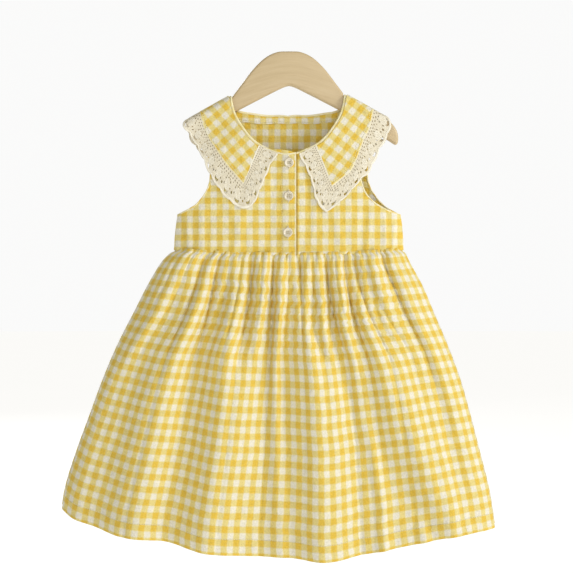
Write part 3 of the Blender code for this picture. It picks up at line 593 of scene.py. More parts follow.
def bodice_panel(hand, side, centre, creases, lapping=False):
    """Outer, inner and flat places of half the bodice, as rows from waist to shoulder."""
    name = ("front" if side > 0 else "back") + ("_right" if hand < 0 else "_left")
    armhole = armhole_line(name, EDGE_INSET, ARMHOLE_STEPS)
    column = 1 if hand < 0 else 2
    foot = smooth(BODICE_SIDES, WAIST_DROP - WAIST_RISE, column)
    top = ARMHOLES[name][-1][1] + EDGE_INSET
    drops = [lerp(waist_drop(foot), top, k / SEAM_STEPS) for k in range(SEAM_STEPS + 1)]
    side_seam = on_bodice([(smooth(BODICE_SIDES, d, column), d) for d in drops], side)
    outer_line = side_seam + armhole[1:]
    neck = neck_line(hand, side, centre, EDGE_INSET, NECK_STEPS)
    last = len(outer_line) - 1
    rise_steps = last - NECK_STEPS
    low, high = waist_drop(centre), drop_of(*neck[0])
    middle = [(centre, lerp(low, high, k / rise_steps)) for k in range(rise_steps + 1)]
    inner_line = on_bodice(middle, side) + neck[1:]
    shares = np.linspace(0.0, 1.0, PANEL_COLUMNS)
    shares = lerp(shares, np.sin(math.pi / 2 * shares), 0.35)[::-1] * -1.0 + 1.0
    outer, inner, flat, edge = [], [], [], []
    for k, ((x0, run0), (x1, run1)) in enumerate(zip(outer_line, inner_line)):
        up = k / last
        drop0, drop1 = drop_of(x0, run0), drop_of(x1, run1)
        for share in shares:
            x = lerp(x0, x1, share)
            drop = lerp(drop0, drop1, share)
            sag = waist_drop(x) - lerp(waist_drop(x0), waist_drop(x1), share)
            drop += sag * (1.0 - up) ** 2
            run = lerp(run_of(x, drop, side), lerp(run0, run1, share), ease(up))
            if k == last:
                run = 0.0
            height = crease_height(creases, x, drop) * ease(abs(run) / 60.0)
            if lapping:
                height += lap_rise(x)
            for places, depth in ((outer, 0.0), (inner, WALL)):
                place = bodice_lift(x, run, height - depth)
                place.y = -side * max(SEAM_HALF, -side * place.y)
                places.append(place)
            flat.append((x * MM, (ridge_drop(x) + abs(run)) * MM))
            edge.append((drop * MM, abs(x - centre) * MM if side > 0 else FAR_OFF))
    shape = (last + 1, len(shares), -1)
    return tuple(np.array(places).reshape(shape) for places in (outer, inner, flat, edge))


def gingham(name, repeat, white, turn=0.0, rolled=0.0, stitches=(), painted_shade_at=None):
    """Yarn-dyed check: white and yellow stripes both ways, mixed where they cross.

    repeat is the check's size both ways and white the middle of one white square, in mm along
    threads that are turned so many degrees. rolled is the width of a turned edge, which gets a
    paler painted highlight, stitches the distances of rows of stitches from it, and the last
    argument the distance of a line of painted shade beside another layer's edge. The relief is
    the plain weave and the crinkle of washed cotton.
    """
    made, shader, value = finish(name, 0.8)
    flat = value.sheet_map("flat")
    x, y, _ = flat.parts()
    cos, sin = math.cos(math.radians(turn)), math.sin(math.radians(turn))
    u, v = x * cos + y * sin, y * cos - x * sin
    wobble = (flat.noise(130.0, 2.0) - 0.5) * 0.0022
    stripes = []
    for thread, length, middle in zip((u + wobble, v - wobble), repeat, white):
        start = middle - 0.75 * length
        stripes.append((thread - start * MM).wave(length * MM).within(-0.34, 0.34))
    weave = u.wave(THREAD * MM) * v.wave(THREAD * MM)
    colour = ((stripes[0] + stripes[1]) * 0.5).ramp(WHITE, HALF_TONE, YELLOW)
    mottle = flat.noise(520.0, 1.0) - 0.5
    tone = 0.95 + mottle * 0.34 + weave * 0.04 + (flat.noise(70.0, 2.0) - 0.5) * 0.16
    colour = colour.scaled(tone)
    crinkle = flat.noise(150.0, 2.5, (1.0, 0.75, 1.0)) + flat.noise(420.0, 1.0) * 0.5
    relief = crinkle + weave * 0.03
    along_edge, from_edge, _ = value.sheet_map("edge").parts()
    # A paler line along the turned edge: a painted highlight where the fold would catch the light.
    if rolled:
        fold = from_edge.within((rolled + 0.35) * MM, rolled * MM)
        colour = colour.mixed(PALE_CREAM_AND_HIGHLIGHT, fold * 0.65)
    for distance in stitches:
        off = (from_edge - distance * MM).size()
        row = off.within(0.5 * MM, 0.15 * MM)
        sewn = along_edge.wave(STITCH * MM).within(-0.6, -0.2) * row
        colour = colour.mixed(PALE_CREAM_AND_HIGHLIGHT, sewn * 0.6)
        puckers = flat.noise(150.0, 1.0, (1.0, 0.3, 1.0))
        relief = relief + sewn * 0.2 - row * 0.5 + off.within(7.0 * MM, 0.5 * MM) * puckers * 0.7
    # A dark line beside another layer's edge: painted shade of the crease there, not a groove in
    # the cloth.
    if painted_shade_at:
        depth = (from_edge - painted_shade_at * MM).size().within(1.7 * MM, 0.6 * MM)
        colour = colour.mixed(PAINTED_SHADE, depth * 0.75)
    link(colour, shader.inputs["Base Color"])
    bumped(shader, relief, 0.0016, 0.75)
    shader.inputs["Sheen Weight"].default_value = 0.12
    shader.inputs["Sheen Roughness"].default_value = 0.6
    shader.inputs["Specular IOR Level"].default_value = 0.25
    return made


WHITE = (0.81, 0.765, 0.63)
HALF_TONE = (0.765, 0.635, 0.24)
YELLOW = (0.75, 0.505, 0.06)
# Pale cream: the colour of thread and binding, and also of the painted highlight on turned edges.
PALE_CREAM_AND_HIGHLIGHT = (0.85, 0.79, 0.54)
# Colour of the painted shade beside a lapping layer's edge.
PAINTED_SHADE = (0.36, 0.22, 0.03)
THREAD = 0.78
STITCH = 3.0

bodice_right = cloth(
    "bodice_right",
    [bodice_panel(-1, 1, LAP_EDGE, FRONT_CREASES, True)],
    gingham("gingham_right", (15.0, 15.3), (-4.2, 155.7), rolled=0.8, stitches=(17.6,)),
)
bodice_left = cloth(
    "bodice_left",
    [bodice_panel(1, 1, LAP_UNDER, FRONT_CREASES)],
    gingham("gingham_left", (14.5, 16.4), (31.0, 212.4), painted_shade_at=LAP_EDGE - LAP_UNDER + 1.1),
)
bodice_back = cloth(
    "bodice_behind",
    [bodice_panel(hand, -1, DRESS_CENTRE, BACK_CREASES) for hand in (-1, 1)],
    gingham("gingham_back", (15.1, 16.6), (0.4, 89.0)),
)
for piece, node, flat_size, area in (
    (bodice_right, "bodice_front_right", (0.155, 0.225), 0.0205),
    (bodice_left, "bodice_front_left", (0.150, 0.225), 0.0195),
    (bodice_back, "bodice_back", (0.290, 0.225), 0.0430),
):
    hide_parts(node)


# The neck and armholes are bound with narrow slant-cut strips of the paler cloth, folded over
# the raw edge and stitched down, and the back neck has a strip of gingham inside.
HANDS = ((-1, "right"), (1, "left"))
BINDING_WIDTH = 2.6
BINDING_SIDES = 10
BINDING_STEPS = 60
BINDING_PROUD = 0.45
FACING_WIDTH = 8.0
FACING_GAP = 0.4
FACING_ROWS = 9
FACING_STEPS = 40
FACING_SHORT = 11


def binding(name, edge, inside, rises, closed):
    """A rolled strip between two lines over the bodice."""
    sides, points, faces = BINDING_SIDES, [], []
    for (x0, run0), (x1, run1), rise in zip(edge, inside, rises):
        for k in range(sides):
            turn = 2 * math.pi * k / sides
            across = 0.5 - 0.5 * math.cos(turn)
            height = rise - WALL / 2 + (WALL / 2 + BINDING_PROUD) * math.sin(turn)
            points.append(bodice_lift(lerp(x0, x1, across), lerp(run0, run1, across), height))
    for near in range(0, len(points) if closed else len(points) - sides, sides):
        far = (near + sides) % len(points)
        for i in range(sides):
            after = (i + 1) % sides
            faces.append((near + i, near + after, far + after, far + i))
    if not closed:
        faces += [tuple(range(sides)), tuple(range(len(points) - sides, len(points)))]
    piece = surface(name, points, faces, 70)
    return piece


def binding_cloth(name, pale):
    """Slant-cut cotton: the check's stripes cross it, worn pale along the fold."""
    made, shader, value = finish(name, 0.75)
    place = value.place()
    x, _, z = place.parts()
    stripes = (x + z).wave(21.0 * MM) * 0.3 + (x - z).wave(21.0 * MM) * 0.3
    tone = stripes + (place.noise(160.0, 2.0) - 0.5) * 0.8
    link(tone.within(-0.5, 0.7).ramp(pale, PALE_CREAM_AND_HIGHLIGHT, HALF_TONE), shader.inputs["Base Color"])
    bumped(shader, place.noise(700.0, 2.0), 0.0005, 0.5)
    return made


neck_cotton = binding_cloth("neck_cotton", (0.82, 0.72, 0.34))
armhole_cotton = binding_cloth("armhole_cotton", YELLOW)
for hand, word in HANDS:
    start = LAP_EDGE if hand < 0 else LAP_EDGE + 0.5
    fronts = [neck_line(hand, 1, start, d, BINDING_STEPS) for d in (0.0, BINDING_WIDTH)]
    backs = [neck_line(hand, -1, DRESS_CENTRE, d, BINDING_STEPS) for d in (0.0, BINDING_WIDTH)]
    edge, inside = (a + b[-2::-1] for a, b in zip(fronts, backs))
    rises = [lap_rise(x) if hand < 0 and run > 0 else 0.0 for x, run in edge]
    neck_binding = binding(f"neck_edge_{word}", edge, inside, rises, closed=False)
    neck_binding.data.materials.append(neck_cotton)
    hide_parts(f"neck_binding_{word}")
    fronts, backs = (
        [armhole_line(f"{part}_{word}", d, ARMHOLE_STEPS) for d in (0.0, BINDING_WIDTH)]
        for part in ("front", "back")
    )
    edge, inside = (a + b[-2:0:-1] for a, b in zip(fronts, backs))
    armhole_binding = binding(f"armhole_edge_{word}", edge, inside, [0.0] * len(edge), closed=True)
    armhole_binding.data.materials.append(armhole_cotton)
    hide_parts(f"armhole_binding_{word}")

facing_lines = []
for distance in np.linspace(BINDING_WIDTH * 0.8, BINDING_WIDTH + FACING_WIDTH, FACING_ROWS):
    left, right = (
        neck_line(hand, -1, DRESS_CENTRE, distance, FACING_STEPS, 1.0)[:-FACING_SHORT]
        for hand, word in HANDS
    )
    facing_lines.append(left[::-1] + right[1:])
facing_grids = [
    np.array([[bodice_lift(*p, -WALL - FACING_GAP - depth) for p in line] for line in facing_lines])
    for depth in (0.0, WALL * 0.8)
]
facing_flat = [[(x, ridge_drop(x) + abs(run)) for x, run in line] for line in facing_lines]
row_width = FACING_WIDTH / (FACING_ROWS - 1)
facing_edge = [[(x, row_width * k) for x, run in line] for k, line in enumerate(facing_lines)]
facing = cloth(
    "neck_strip",
    [(*facing_grids, np.array(facing_flat) * MM, np.array(facing_edge) * MM)],
    gingham("gingham_strip", (15.1, 16.6), (5.0, 91.5), stitches=(6.6,)),
)
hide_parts("neck_facing")


# The skirt is two straight lengths of the same gingham, each about twice the waist's width,
# gathered into the waist seam, sewn at the sides and turned up in a deep stitched hem. The
# many small gathers run together into a few broad folds lower down.
CUT_WIDTH = 0.59
CUT_LENGTH = 0.37
SKIRT_DEPTH_WAIST = 17.5
SKIRT_DEPTH_HEM = 38.0
SKIRT_EDGE_POWER = 2.6
BACK_HEM_RISE = 5.0
TUCK = 0.010
TUCK_IN = 2.6
SEAM_NIP = 0.8
SEAM_REACH = 0.012
SEAM_INSET = 1.2
SKIRT_COLUMNS = 321
FINE_DEPTH = 0.16
FINE_ROWS = 36
COARSE_ROWS = 112
HEM_TURN = 20.0
HEM_THICKER = 0.7
SKIRT_SIDES = (
    # drop, left x, right x
    (249.5, -146.5, 145.5),
    (265.0, -161.0, 152.5),
    (295.5, -178.9, 168.8),
    (325.7, -194.0, 181.4),
    (371.1, -216.7, 200.3),
    (416.4, -235.6, 216.7),
    (461.8, -252.0, 229.3),
    (507.2, -268.4, 240.7),
    (552.5, -282.2, 252.0),
    (599.0, -289.5, 259.6),
)
SKIRT_HEM = (
    # share of the width from the left, drop
    (0.0, 575.5), (0.03, 586.0), (0.08, 594.5), (0.14, 604.5), (0.25, 612.5), (0.33, 623.5),
    (0.42, 628.5), (0.52, 631.0), (0.61, 634.5), (0.7, 627.0), (0.8, 617.0), (0.9, 606.5),
    (1.0, 599.5),
)
FOLD_STATIONS = (0.08, 0.25, 0.5, 0.8, 1.0)
FRONT_FOLDS = (
    # places across at the five stations, half widths there, heights in mm there
    ((0.045, 0.055, 0.02, 0.025, 0.03), (0.04, 0.04, 0.035, 0.03, 0.03), (6, 6, 5, 5, 5)),
    ((0.155, 0.168, 0.16, 0.163, 0.161), (0.05, 0.06, 0.085, 0.088, 0.088), (10, 13, 15, 16, 17)),
    ((0.233, 0.24, 0.245, 0.245, 0.25), (0.028, 0.025, 0.025, 0.025, 0.025), (8, 2, 0, 0, 0)),
    ((0.303, 0.311, 0.345, 0.346, 0.34), (0.045, 0.062, 0.098, 0.1, 0.1), (14, 17, 18, 19, 18)),
    ((0.388, 0.396, 0.4, 0.405, 0.41), (0.034, 0.03, 0.03, 0.03, 0.03), (9, 7, 2, 0, 0)),
    ((0.468, 0.472, 0.48, 0.499, 0.505), (0.022, 0.022, 0.024, 0.03, 0.032), (12, 10, 6, 5, 5)),
    ((0.553, 0.56, 0.592, 0.602, 0.605), (0.042, 0.044, 0.098, 0.1, 0.092), (13, 14, 17, 18, 18)),
    ((0.638, 0.632, 0.645, 0.65, 0.65), (0.032, 0.03, 0.03, 0.03, 0.03), (11, 8, 2, 0, 0)),
    ((0.711, 0.706, 0.715, 0.745, 0.742), (0.034, 0.034, 0.03, 0.028, 0.028), (11, 10, 3, 5, 6)),
    ((0.785, 0.78, 0.81, 0.872, 0.912), (0.038, 0.05, 0.098, 0.085, 0.06), (10, 12, 16, 15, 13)),
    ((0.85, 0.85, 0.85, 0.815, 0.83), (0.03, 0.03, 0.03, 0.025, 0.028), (6, 2, 0, 1, 5)),
    ((0.92, 0.935, 0.96, 0.965, 0.97), (0.044, 0.042, 0.034, 0.03, 0.028), (9, 8, 5, 5, 4)),
)
BACK_FOLDS = (
    # places across at the five stations, half widths there, heights in mm there
    ((0.065, 0.06, 0.05, 0.045, 0.045), (0.04, 0.044, 0.046, 0.05, 0.05), (6, 6, 6, 7, 7)),
    ((0.175, 0.19, 0.2, 0.21, 0.215), (0.05, 0.06, 0.08, 0.082, 0.082), (10, 13, 15, 16, 16)),
    ((0.285, 0.31, 0.33, 0.34, 0.345), (0.036, 0.04, 0.045, 0.045, 0.045), (10, 9, 8, 8, 8)),
    ((0.39, 0.415, 0.44, 0.46, 0.47), (0.045, 0.06, 0.08, 0.084, 0.084), (12, 14, 17, 18, 18)),
    ((0.505, 0.53, 0.56, 0.58, 0.59), (0.034, 0.036, 0.038, 0.038, 0.04), (10, 8, 6, 6, 6)),
    ((0.595, 0.63, 0.66, 0.685, 0.7), (0.04, 0.056, 0.078, 0.082, 0.082), (12, 14, 17, 18, 17)),
    ((0.715, 0.75, 0.79, 0.815, 0.825), (0.036, 0.04, 0.045, 0.046, 0.048), (10, 9, 8, 8, 8)),
    ((0.845, 0.87, 0.9, 0.92, 0.93), (0.04, 0.05, 0.055, 0.055, 0.05), (8, 10, 12, 12, 12)),
)
FRONT_GATHERS = (
    0.009, 0.063, 0.105, 0.145, 0.194, 0.228, 0.261, 0.305, 0.354, 0.408, 0.438, 0.469, 0.508,
    0.557, 0.598, 0.637, 0.667, 0.702, 0.730, 0.762, 0.793, 0.838, 0.864, 0.894, 0.935, 0.981,
)
GATHER_HEIGHT = 3.4
GATHER_END = 0.048
GATHER_SPACING = 0.038
GATHER_TALLEST = 12.0
PLEAT_STATIONS = (0.0, 0.134, 0.35)
FRONT_PLEATS = (
    # slits between the upper folds: their places across at the three stations
    (0.0, 0.0, 0.0),
    (0.046, 0.05, 0.03),
    (0.098, 0.099, 0.075),
    (0.152, 0.152, 0.15),
    (0.206, 0.212, 0.236),
    (0.256, 0.257, 0.27),
    (0.3, 0.302, 0.31),
    (0.346, 0.349, 0.36),
    (0.388, 0.389, 0.4),
    (0.432, 0.435, 0.456),
    (0.5, 0.5, 0.5),
    (0.548, 0.556, 0.56),
    (0.6, 0.607, 0.622),
    (0.664, 0.668, 0.69),
    (0.7, 0.704, 0.722),
    (0.74, 0.74, 0.752),
    (0.786, 0.788, 0.815),
    (0.83, 0.833, 0.88),
    (0.898, 0.905, 0.925),
    (0.955, 0.955, 0.962),
    (1.0, 1.0, 1.0),
)
DEEP_SLITS = (0, 3, 4, 7, 9, 11, 13, 15, 16, 18, 20)
SMALL_PLEAT_SHARE = 0.45
PLEAT_SINK = 4.5
PLEAT_STEEPNESS = 0.5
PLEAT_TALLEST = 13.0
CREST_POWER = 0.7
CRINKLE_HEIGHT = 0.55


def fold_sum(folds, across, down):
    """The broad folds' height along one row of the skirt."""
    total = np.zeros_like(across)
    for places, halves_across, heights in folds:
        stations = list(zip(FOLD_STATIONS, places, halves_across, heights))
        place, half, height = (smooth(stations, down, column) for column in (1, 2, 3))
        off = np.minimum(1.0, np.abs(across - place) / half)
        lobe = (0.5 + 0.5 * np.cos(math.pi * off)) ** lerp(0.6, 1.0, ease(down / 0.6))
        total += max(0.0, height) * lerp(1.3, 1.0, ease(down / 0.4)) * lobe
    return total


def crest(across, low, high):
    """A round crest of height 1 between two sharp slits."""
    share = np.clip((across - low) / (high - low), 0.0, 1.0)
    return (4.0 * share * (1.0 - share)) ** CREST_POWER


def gather_sum(gathers, across, down):
    """The small gathers' height along one row: round crests between sharp slits."""
    slits = [0.0] + [(a + b) / 2 for a, b in zip(gathers, gathers[1:])] + [1.0]
    wander = [0.006 * math.sin(k * 2.1) * min(1.0, down / 0.1) for k in range(len(slits))]
    slits = [slit + off for slit, off in zip(slits, wander)]
    total = np.zeros_like(across)
    for k, (low, high) in enumerate(zip(slits, slits[1:])):
        reach = GATHER_END * (0.7 + 0.6 * math.sin(k * 2.4) ** 2)
        tall = GATHER_HEIGHT * (high - low) / GATHER_SPACING * (0.85 + 0.3 * math.sin(k * 1.7))
        tall = min(GATHER_TALLEST, tall) * ease(1.0 - down / reach)
        total += tall * crest(across, low, high)
    return total


def pleat_sum(pleats, deep, across, down, width):
    """The upper folds' height along one row: a round crest between each two slits."""
    slits = [smooth(list(zip(PLEAT_STATIONS, row)), down) for row in pleats]
    levels = (slits, SMALL_PLEAT_SHARE), ([slits[k] for k in deep], 1.0 - 0.5 * SMALL_PLEAT_SHARE)
    total = np.zeros_like(across)
    for edges, strength in levels:
        for k, (low, high) in enumerate(zip(edges, edges[1:])):
            tall = min(PLEAT_TALLEST, PLEAT_STEEPNESS * (high - low) * width)
            tall *= strength * (0.85 + 0.3 * math.sin(k * 2.3 + 1.0))
            total += tall * crest(across, low, high)
    return total - PLEAT_SINK * (1.0 - np.abs(2.0 * across - 1.0) ** 4)


def crinkle(across, below, side):
    """The washed cloth's small puckers, most of all low at the wearer's left and by the hem."""
    heights = []
    for place in across:
        u, v = place * CUT_WIDTH, below * CUT_LENGTH
        puckers = noise.noise(Vector((u * 62.0, v * 95.0, 7.0 * side)))
        puckers += 0.6 * noise.noise(Vector((u * 140.0, v * 150.0, 3.0 * side)))
        worn = 0.55 + 0.9 * ease((place - 0.5) / 0.35) * ease((below - 0.35) / 0.4)
        hem = ease((below - 0.91) / 0.03) * noise.noise(Vector((u * 85.0, v * 25.0, 1.0)))
        heights.append(CRINKLE_HEIGHT * (puckers * worn + hem))
    return np.array(heights) * ease(below / 0.1)


def skirt_grid(side):
    """Outer and inner places of the skirt's front (side 1) or back, and its flat places."""
    folds, gathers, pleats, deep = FRONT_FOLDS, FRONT_GATHERS, FRONT_PLEATS, DEEP_SLITS
    if side < 0:
        folds, gathers = BACK_FOLDS, [1.0 - place for place in gathers[::-1]]
        pleats = [tuple(1.0 - place for place in row) for row in pleats[::-1]]
        deep = [len(pleats) - 1 - k for k in deep[::-1]]
    across = np.linspace(0.0, 1.0, SKIRT_COLUMNS)
    across = lerp(across, 0.5 - 0.5 * np.cos(math.pi * across), 0.3)
    fine = np.linspace(0.0, FINE_DEPTH, FINE_ROWS)[1:]
    coarse = np.linspace(FINE_DEPTH, 1.0, COARSE_ROWS)[1:]
    downs = np.concatenate([[-TUCK, -TUCK / 2, 0.0], fine, coarse])
    waist_left, waist_right = BODICE_SIDES[-1][1:]
    seam_left, seam_right = waist_left + SEAM_INSET, waist_right - SEAM_INSET
    at_waist = lerp(SKIRT_SIDES[0][1], SKIRT_SIDES[0][2], across)
    top = np.array([waist_drop(a) for a in np.clip(at_waist, waist_left, waist_right)])
    hem = np.array([smooth(SKIRT_HEM, a) for a in across]) - (BACK_HEM_RISE if side < 0 else 0.0)
    rows = []
    for down in downs:
        below = max(0.0, down)
        left_drop = lerp(SKIRT_SIDES[0][0], SKIRT_HEM[0][1], below)
        right_drop = lerp(SKIRT_SIDES[0][0], SKIRT_HEM[-1][1], below)
        left, right = smooth(SKIRT_SIDES, left_drop, 1), smooth(SKIRT_SIDES, right_drop, 2)
        flare = ease(below / SEAM_REACH)
        left, right = lerp(seam_left, left, flare), lerp(seam_right, right, flare)
        x = lerp(left, right, across)
        straight = lerp(seam_left, seam_right, across)
        spread = lerp(np.abs(2.0 * across - 1.0) ** 1.3, 1.0, ease(below / 0.4))
        x = lerp(straight, x, spread)
        drop = lerp(top, hem, down)
        full = lerp(SKIRT_DEPTH_WAIST, SKIRT_DEPTH_HEM, below)
        plain = full * (1.0 - np.abs(2.0 * across - 1.0) ** SKIRT_EDGE_POWER) ** 0.5
        upper = pleat_sum(pleats, deep, across, min(PLEAT_STATIONS[-1], below), right - left)
        upper *= lerp(0.5, 1.0, ease(below / 0.02)) * (1.0 - 0.75 * ease((below - 0.16) / 0.34))
        lower = fold_sum(folds, across, max(FOLD_STATIONS[0], below)) * ease(below / 0.28)
        stand = upper + lower + gather_sum(gathers, across, below)
        stand += crinkle(across, below, side)
        stand *= 1.0 - np.abs(2.0 * across - 1.0) ** 14
        tucked = TUCK_IN * ease(1.0 - (down + TUCK) / TUCK)
        tucked += SEAM_NIP * ease(1.0 - below / SEAM_REACH)
        rows.append(np.stack([x, -side * (SEAM_HALF + plain + stand - tucked), -drop], axis=-1))
    outer = np.array(rows)
    normal = np.cross(np.gradient(outer, axis=0), np.gradient(outer, axis=1))
    normal /= np.linalg.norm(normal, axis=-1, keepdims=True)
    normal *= np.sign(-side * normal[..., 1:2])
    hem_share = HEM_TURN * MM / CUT_LENGTH
    layers = 1.0 + HEM_THICKER * ease((downs - 1.0 + hem_share) / 0.006)
    inner = outer - normal * WALL * layers[:, None, None]
    inner[0, :, 2], inner[-1, :, 2] = outer[0, :, 2], outer[-1, :, 2]
    for grid in (outer, inner):
        grid[..., 1] = -side * np.maximum(SEAM_HALF, -side * grid[..., 1])
    steps = np.linalg.norm(np.diff(outer, axis=1), axis=-1)
    run = np.concatenate([np.zeros((len(downs), 1)), np.cumsum(steps, axis=1)], axis=1)
    flat_u = run / run[:, -1:] * CUT_WIDTH
    flat_v = np.repeat(downs[:, None] * CUT_LENGTH, SKIRT_COLUMNS, axis=1)
    flat = np.stack([flat_u, flat_v], axis=-1)
    return outer, inner, flat, np.stack([flat_u, CUT_LENGTH - flat_v], axis=-1)


skirt_check = gingham("gingham_skirt", (15.5, 16.3), (3.0, 4.0), stitches=(HEM_TURN,))
for side, name, node in ((1, "skirt_before", "skirt_front"), (-1, "skirt_behind", "skirt_back")):
    skirt = cloth(name, [skirt_grid(side)], skirt_check)
    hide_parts(node)


# The collar is two flat halves of gingham cut on the slant, each with a point in front. They
# lie over the shoulders from the centre front to the centre back and are sewn into the neck.
COLLAR_LIFT = 0.35
COLLAR_RIDGE_LIFT = 0.6
COLLAR_RIDGE_REACH = 15.0
LACE_RISE_START = -27.0
LACE_RISE_LENGTH = 14.0
COLLAR_NECK_EDGE = 2.8
RIBS_A_SCALLOP = 12
COLLAR_COLUMNS = 25
SCALLOPS_FRONT = 5
SCALLOPS_SIDE = 7
SCALLOPS_BACK = 9
COLLARS = {
    "right": (
        # side, gingham edge across and drop, lace edge across and drop
        (1, -57.1, 167.3, -58.0, 200.7),
        (1, -68.0, 155.0, -78.0, 186.5),
        (1, -79.0, 142.3, -97.8, 158.9),
        (1, -90.0, 126.0, -112.4, 127.6),
        (1, -99.8, 110.9, -124.5, 107.0),
        (1, -108.0, 93.0, -133.0, 95.0),
        (0, -112.4, 0.0, -130.5, 0.0),
        (-1, -108.5, 95.0, -127.5, 106.0),
        (-1, -98.0, 109.0, -113.5, 125.0),
        (-1, -80.0, 118.5, -90.0, 138.5),
        (-1, -55.0, 124.0, -60.0, 145.5),
        (-1, -28.0, 127.0, -30.0, 149.0),
        (-1, 0.0, 128.0, 0.0, 150.0),
    ),
    "left": (
        # side, gingham edge across and drop, lace edge across and drop
        (1, 53.7, 170.5, 46.0, 204.8),
        (1, 66.0, 161.0, 68.0, 187.5),
        (1, 77.7, 150.6, 88.2, 165.2),
        (1, 86.0, 133.0, 100.8, 152.7),
        (1, 92.4, 115.0, 113.0, 127.5),
        (1, 101.0, 97.0, 128.0, 97.0),
        (0, 106.5, 0.0, 122.5, 0.0),
        (-1, 102.5, 92.0, 125.0, 104.0),
        (-1, 94.0, 107.0, 112.0, 124.0),
        (-1, 77.0, 117.5, 88.0, 138.0),
        (-1, 53.0, 123.5, 59.0, 145.3),
        (-1, 27.0, 127.0, 29.0, 149.0),
        (-1, 0.0, 128.0, 0.0, 150.0),
    ),
}
COLLAR_STARTS = {"right": -36.8, "left": 33.6}


def collar_edge(word, lace):
    """An edge of a collar half as (x, run), in front and behind the shoulder ridge."""
    first = 3 if lace else 1
    rows = COLLARS[word]
    line = [(r[first], run_of(r[first], r[first + 1], r[0]) if r[0] else 0.0) for r in rows]
    ridge = [r[0] for r in rows].index(0)
    front = sampled(line[: ridge + 1], RIBS_A_SCALLOP * SCALLOPS_SIDE)
    return front + sampled(line[ridge:], RIBS_A_SCALLOP * SCALLOPS_BACK)[1:]


def collar_neck(hand, word):
    """The collar half's edge along the neck."""
    front_steps, back_steps = RIBS_A_SCALLOP * SCALLOPS_SIDE, RIBS_A_SCALLOP * SCALLOPS_BACK
    front = neck_line(hand, 1, COLLAR_STARTS[word], COLLAR_NECK_EDGE, front_steps, 1.0)
    back = neck_line(hand, -1, DRESS_CENTRE + hand * 0.3, COLLAR_NECK_EDGE, back_steps, 1.0)
    return front + back[-2::-1]


def collar_place(x, run, hand, height):
    """A place on the collar, over the bodice and over the lap."""
    limit = DRESS_CENTRE + hand * 0.3
    x = max(x, limit) if hand > 0 else min(x, limit)
    low = COLLAR_LIFT + COLLAR_RIDGE_LIFT * math.exp(-((run / COLLAR_RIDGE_REACH) ** 2))
    if hand < 0 and run > 0.0:
        low += LAP_RISE * ease((x - LACE_RISE_START) / LACE_RISE_LENGTH)
    return bodice_lift(x, run, low + height)


def ribs_to_grids(ribs, shares_of, hand, wall, flat_of, lift):
    """Grids for cloth() from pairs of near and far edge points."""
    outer, inner, flat, edge = [], [], [], []
    along_edge = 0.0
    for k, (near, far) in enumerate(ribs):
        shares = shares_of(k, near, far)
        along_edge += math.dist(far, ribs[max(0, k - 1)][1])
        for j, share in enumerate(shares):
            x, run = lerp(near[0], far[0], share), lerp(near[1], far[1], share)
            height = lift(x, run, share)
            outer.append(collar_place(x, run, hand, height + wall))
            inner.append(collar_place(x, run, hand, height))
            flat.append(flat_of(k, j, x, run))
            edge.append((along_edge * MM, (1.0 - share) * math.dist(near, far) * MM))
    size = (len(ribs), len(shares))
    grids = [np.array(g).reshape(*size, 3) for g in (outer, inner)]
    return (*grids, *(np.array(g).reshape(*size, 2) for g in (flat, edge)))


def edge_lift(x, run):
    """How far the collar's outer edge stands off the bodice, in soft waves."""
    return 0.2 + (math.sin(run * 0.045 + x * 0.03) * 0.4 + 0.4) * ease(abs(run) / 50.0)


def unfolded(x, run):
    """Where a place on the collar lies on the flat cloth, its back half turned over the ridge."""
    drop = ridge_drop(x) + abs(run)
    if run >= 0.0:
        return x * MM, drop * MM
    tilt = math.copysign(RIDGE_SLOPE, x - DRESS_CENTRE)
    fold = 2.0 * run / (1.0 + tilt * tilt)
    return (x - fold * tilt) * MM, (drop + fold) * MM


COLLAR_CHECKS = (
    # hand, name, threads' turn, repeats, middle of a white square
    (-1, "right", 48.7, (15.7, 14.7), (44.5, 132.0)),
    (1, "left", 127.0, (16.35, 14.6), (50.2, -127.0)),
)
for hand, word, turn, repeat, white in COLLAR_CHECKS:
    check = gingham(f"gingham_collar_{word}", repeat, white, turn, rolled=0.9, stitches=(2.9,))
    grids = ribs_to_grids(
        list(zip(collar_neck(hand, word), collar_edge(word, lace=False))),
        lambda k, near, far: np.linspace(0.0, 1.0, COLLAR_COLUMNS),
        hand,
        WALL,
        lambda k, j, x, run: unfolded(x, run),
        lambda x, run, share: edge_lift(x, run) * share,
    )
    collar = cloth(f"collar_half_{word}", [grids], check)
    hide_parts(f"collar_{word}")


# Cream cotton lace is sewn along the collar's outer edges and mitred at the points. It is a
# band 22 mm wide with three rows of pinholes by the gingham, a small flower in each repeat, and
# low scallops with a slot in each along its free edge.
LACE_WALL = 0.8
LACE_WIDTH = 22.0
LACE_TUCK = 1.2
LACE_COLUMNS = 20
SCALLOP = 17.7
SCALLOP_DEPTH = 1.8
LACE_FRONTS = {
    "right": (
        # across, drop
        (-58.0, 200.7), (-45.0, 195.0), (-36.5, 177.5), (-28.5, 158.9), (-20.4, 140.5),
        (-12.3, 131.4),
    ),
    "left": (
        (46.0, 204.8), (34.0, 190.0), (28.5, 168.0), (22.5, 152.0), (17.0, 141.0),
        (11.5, 131.4),
    ),
}


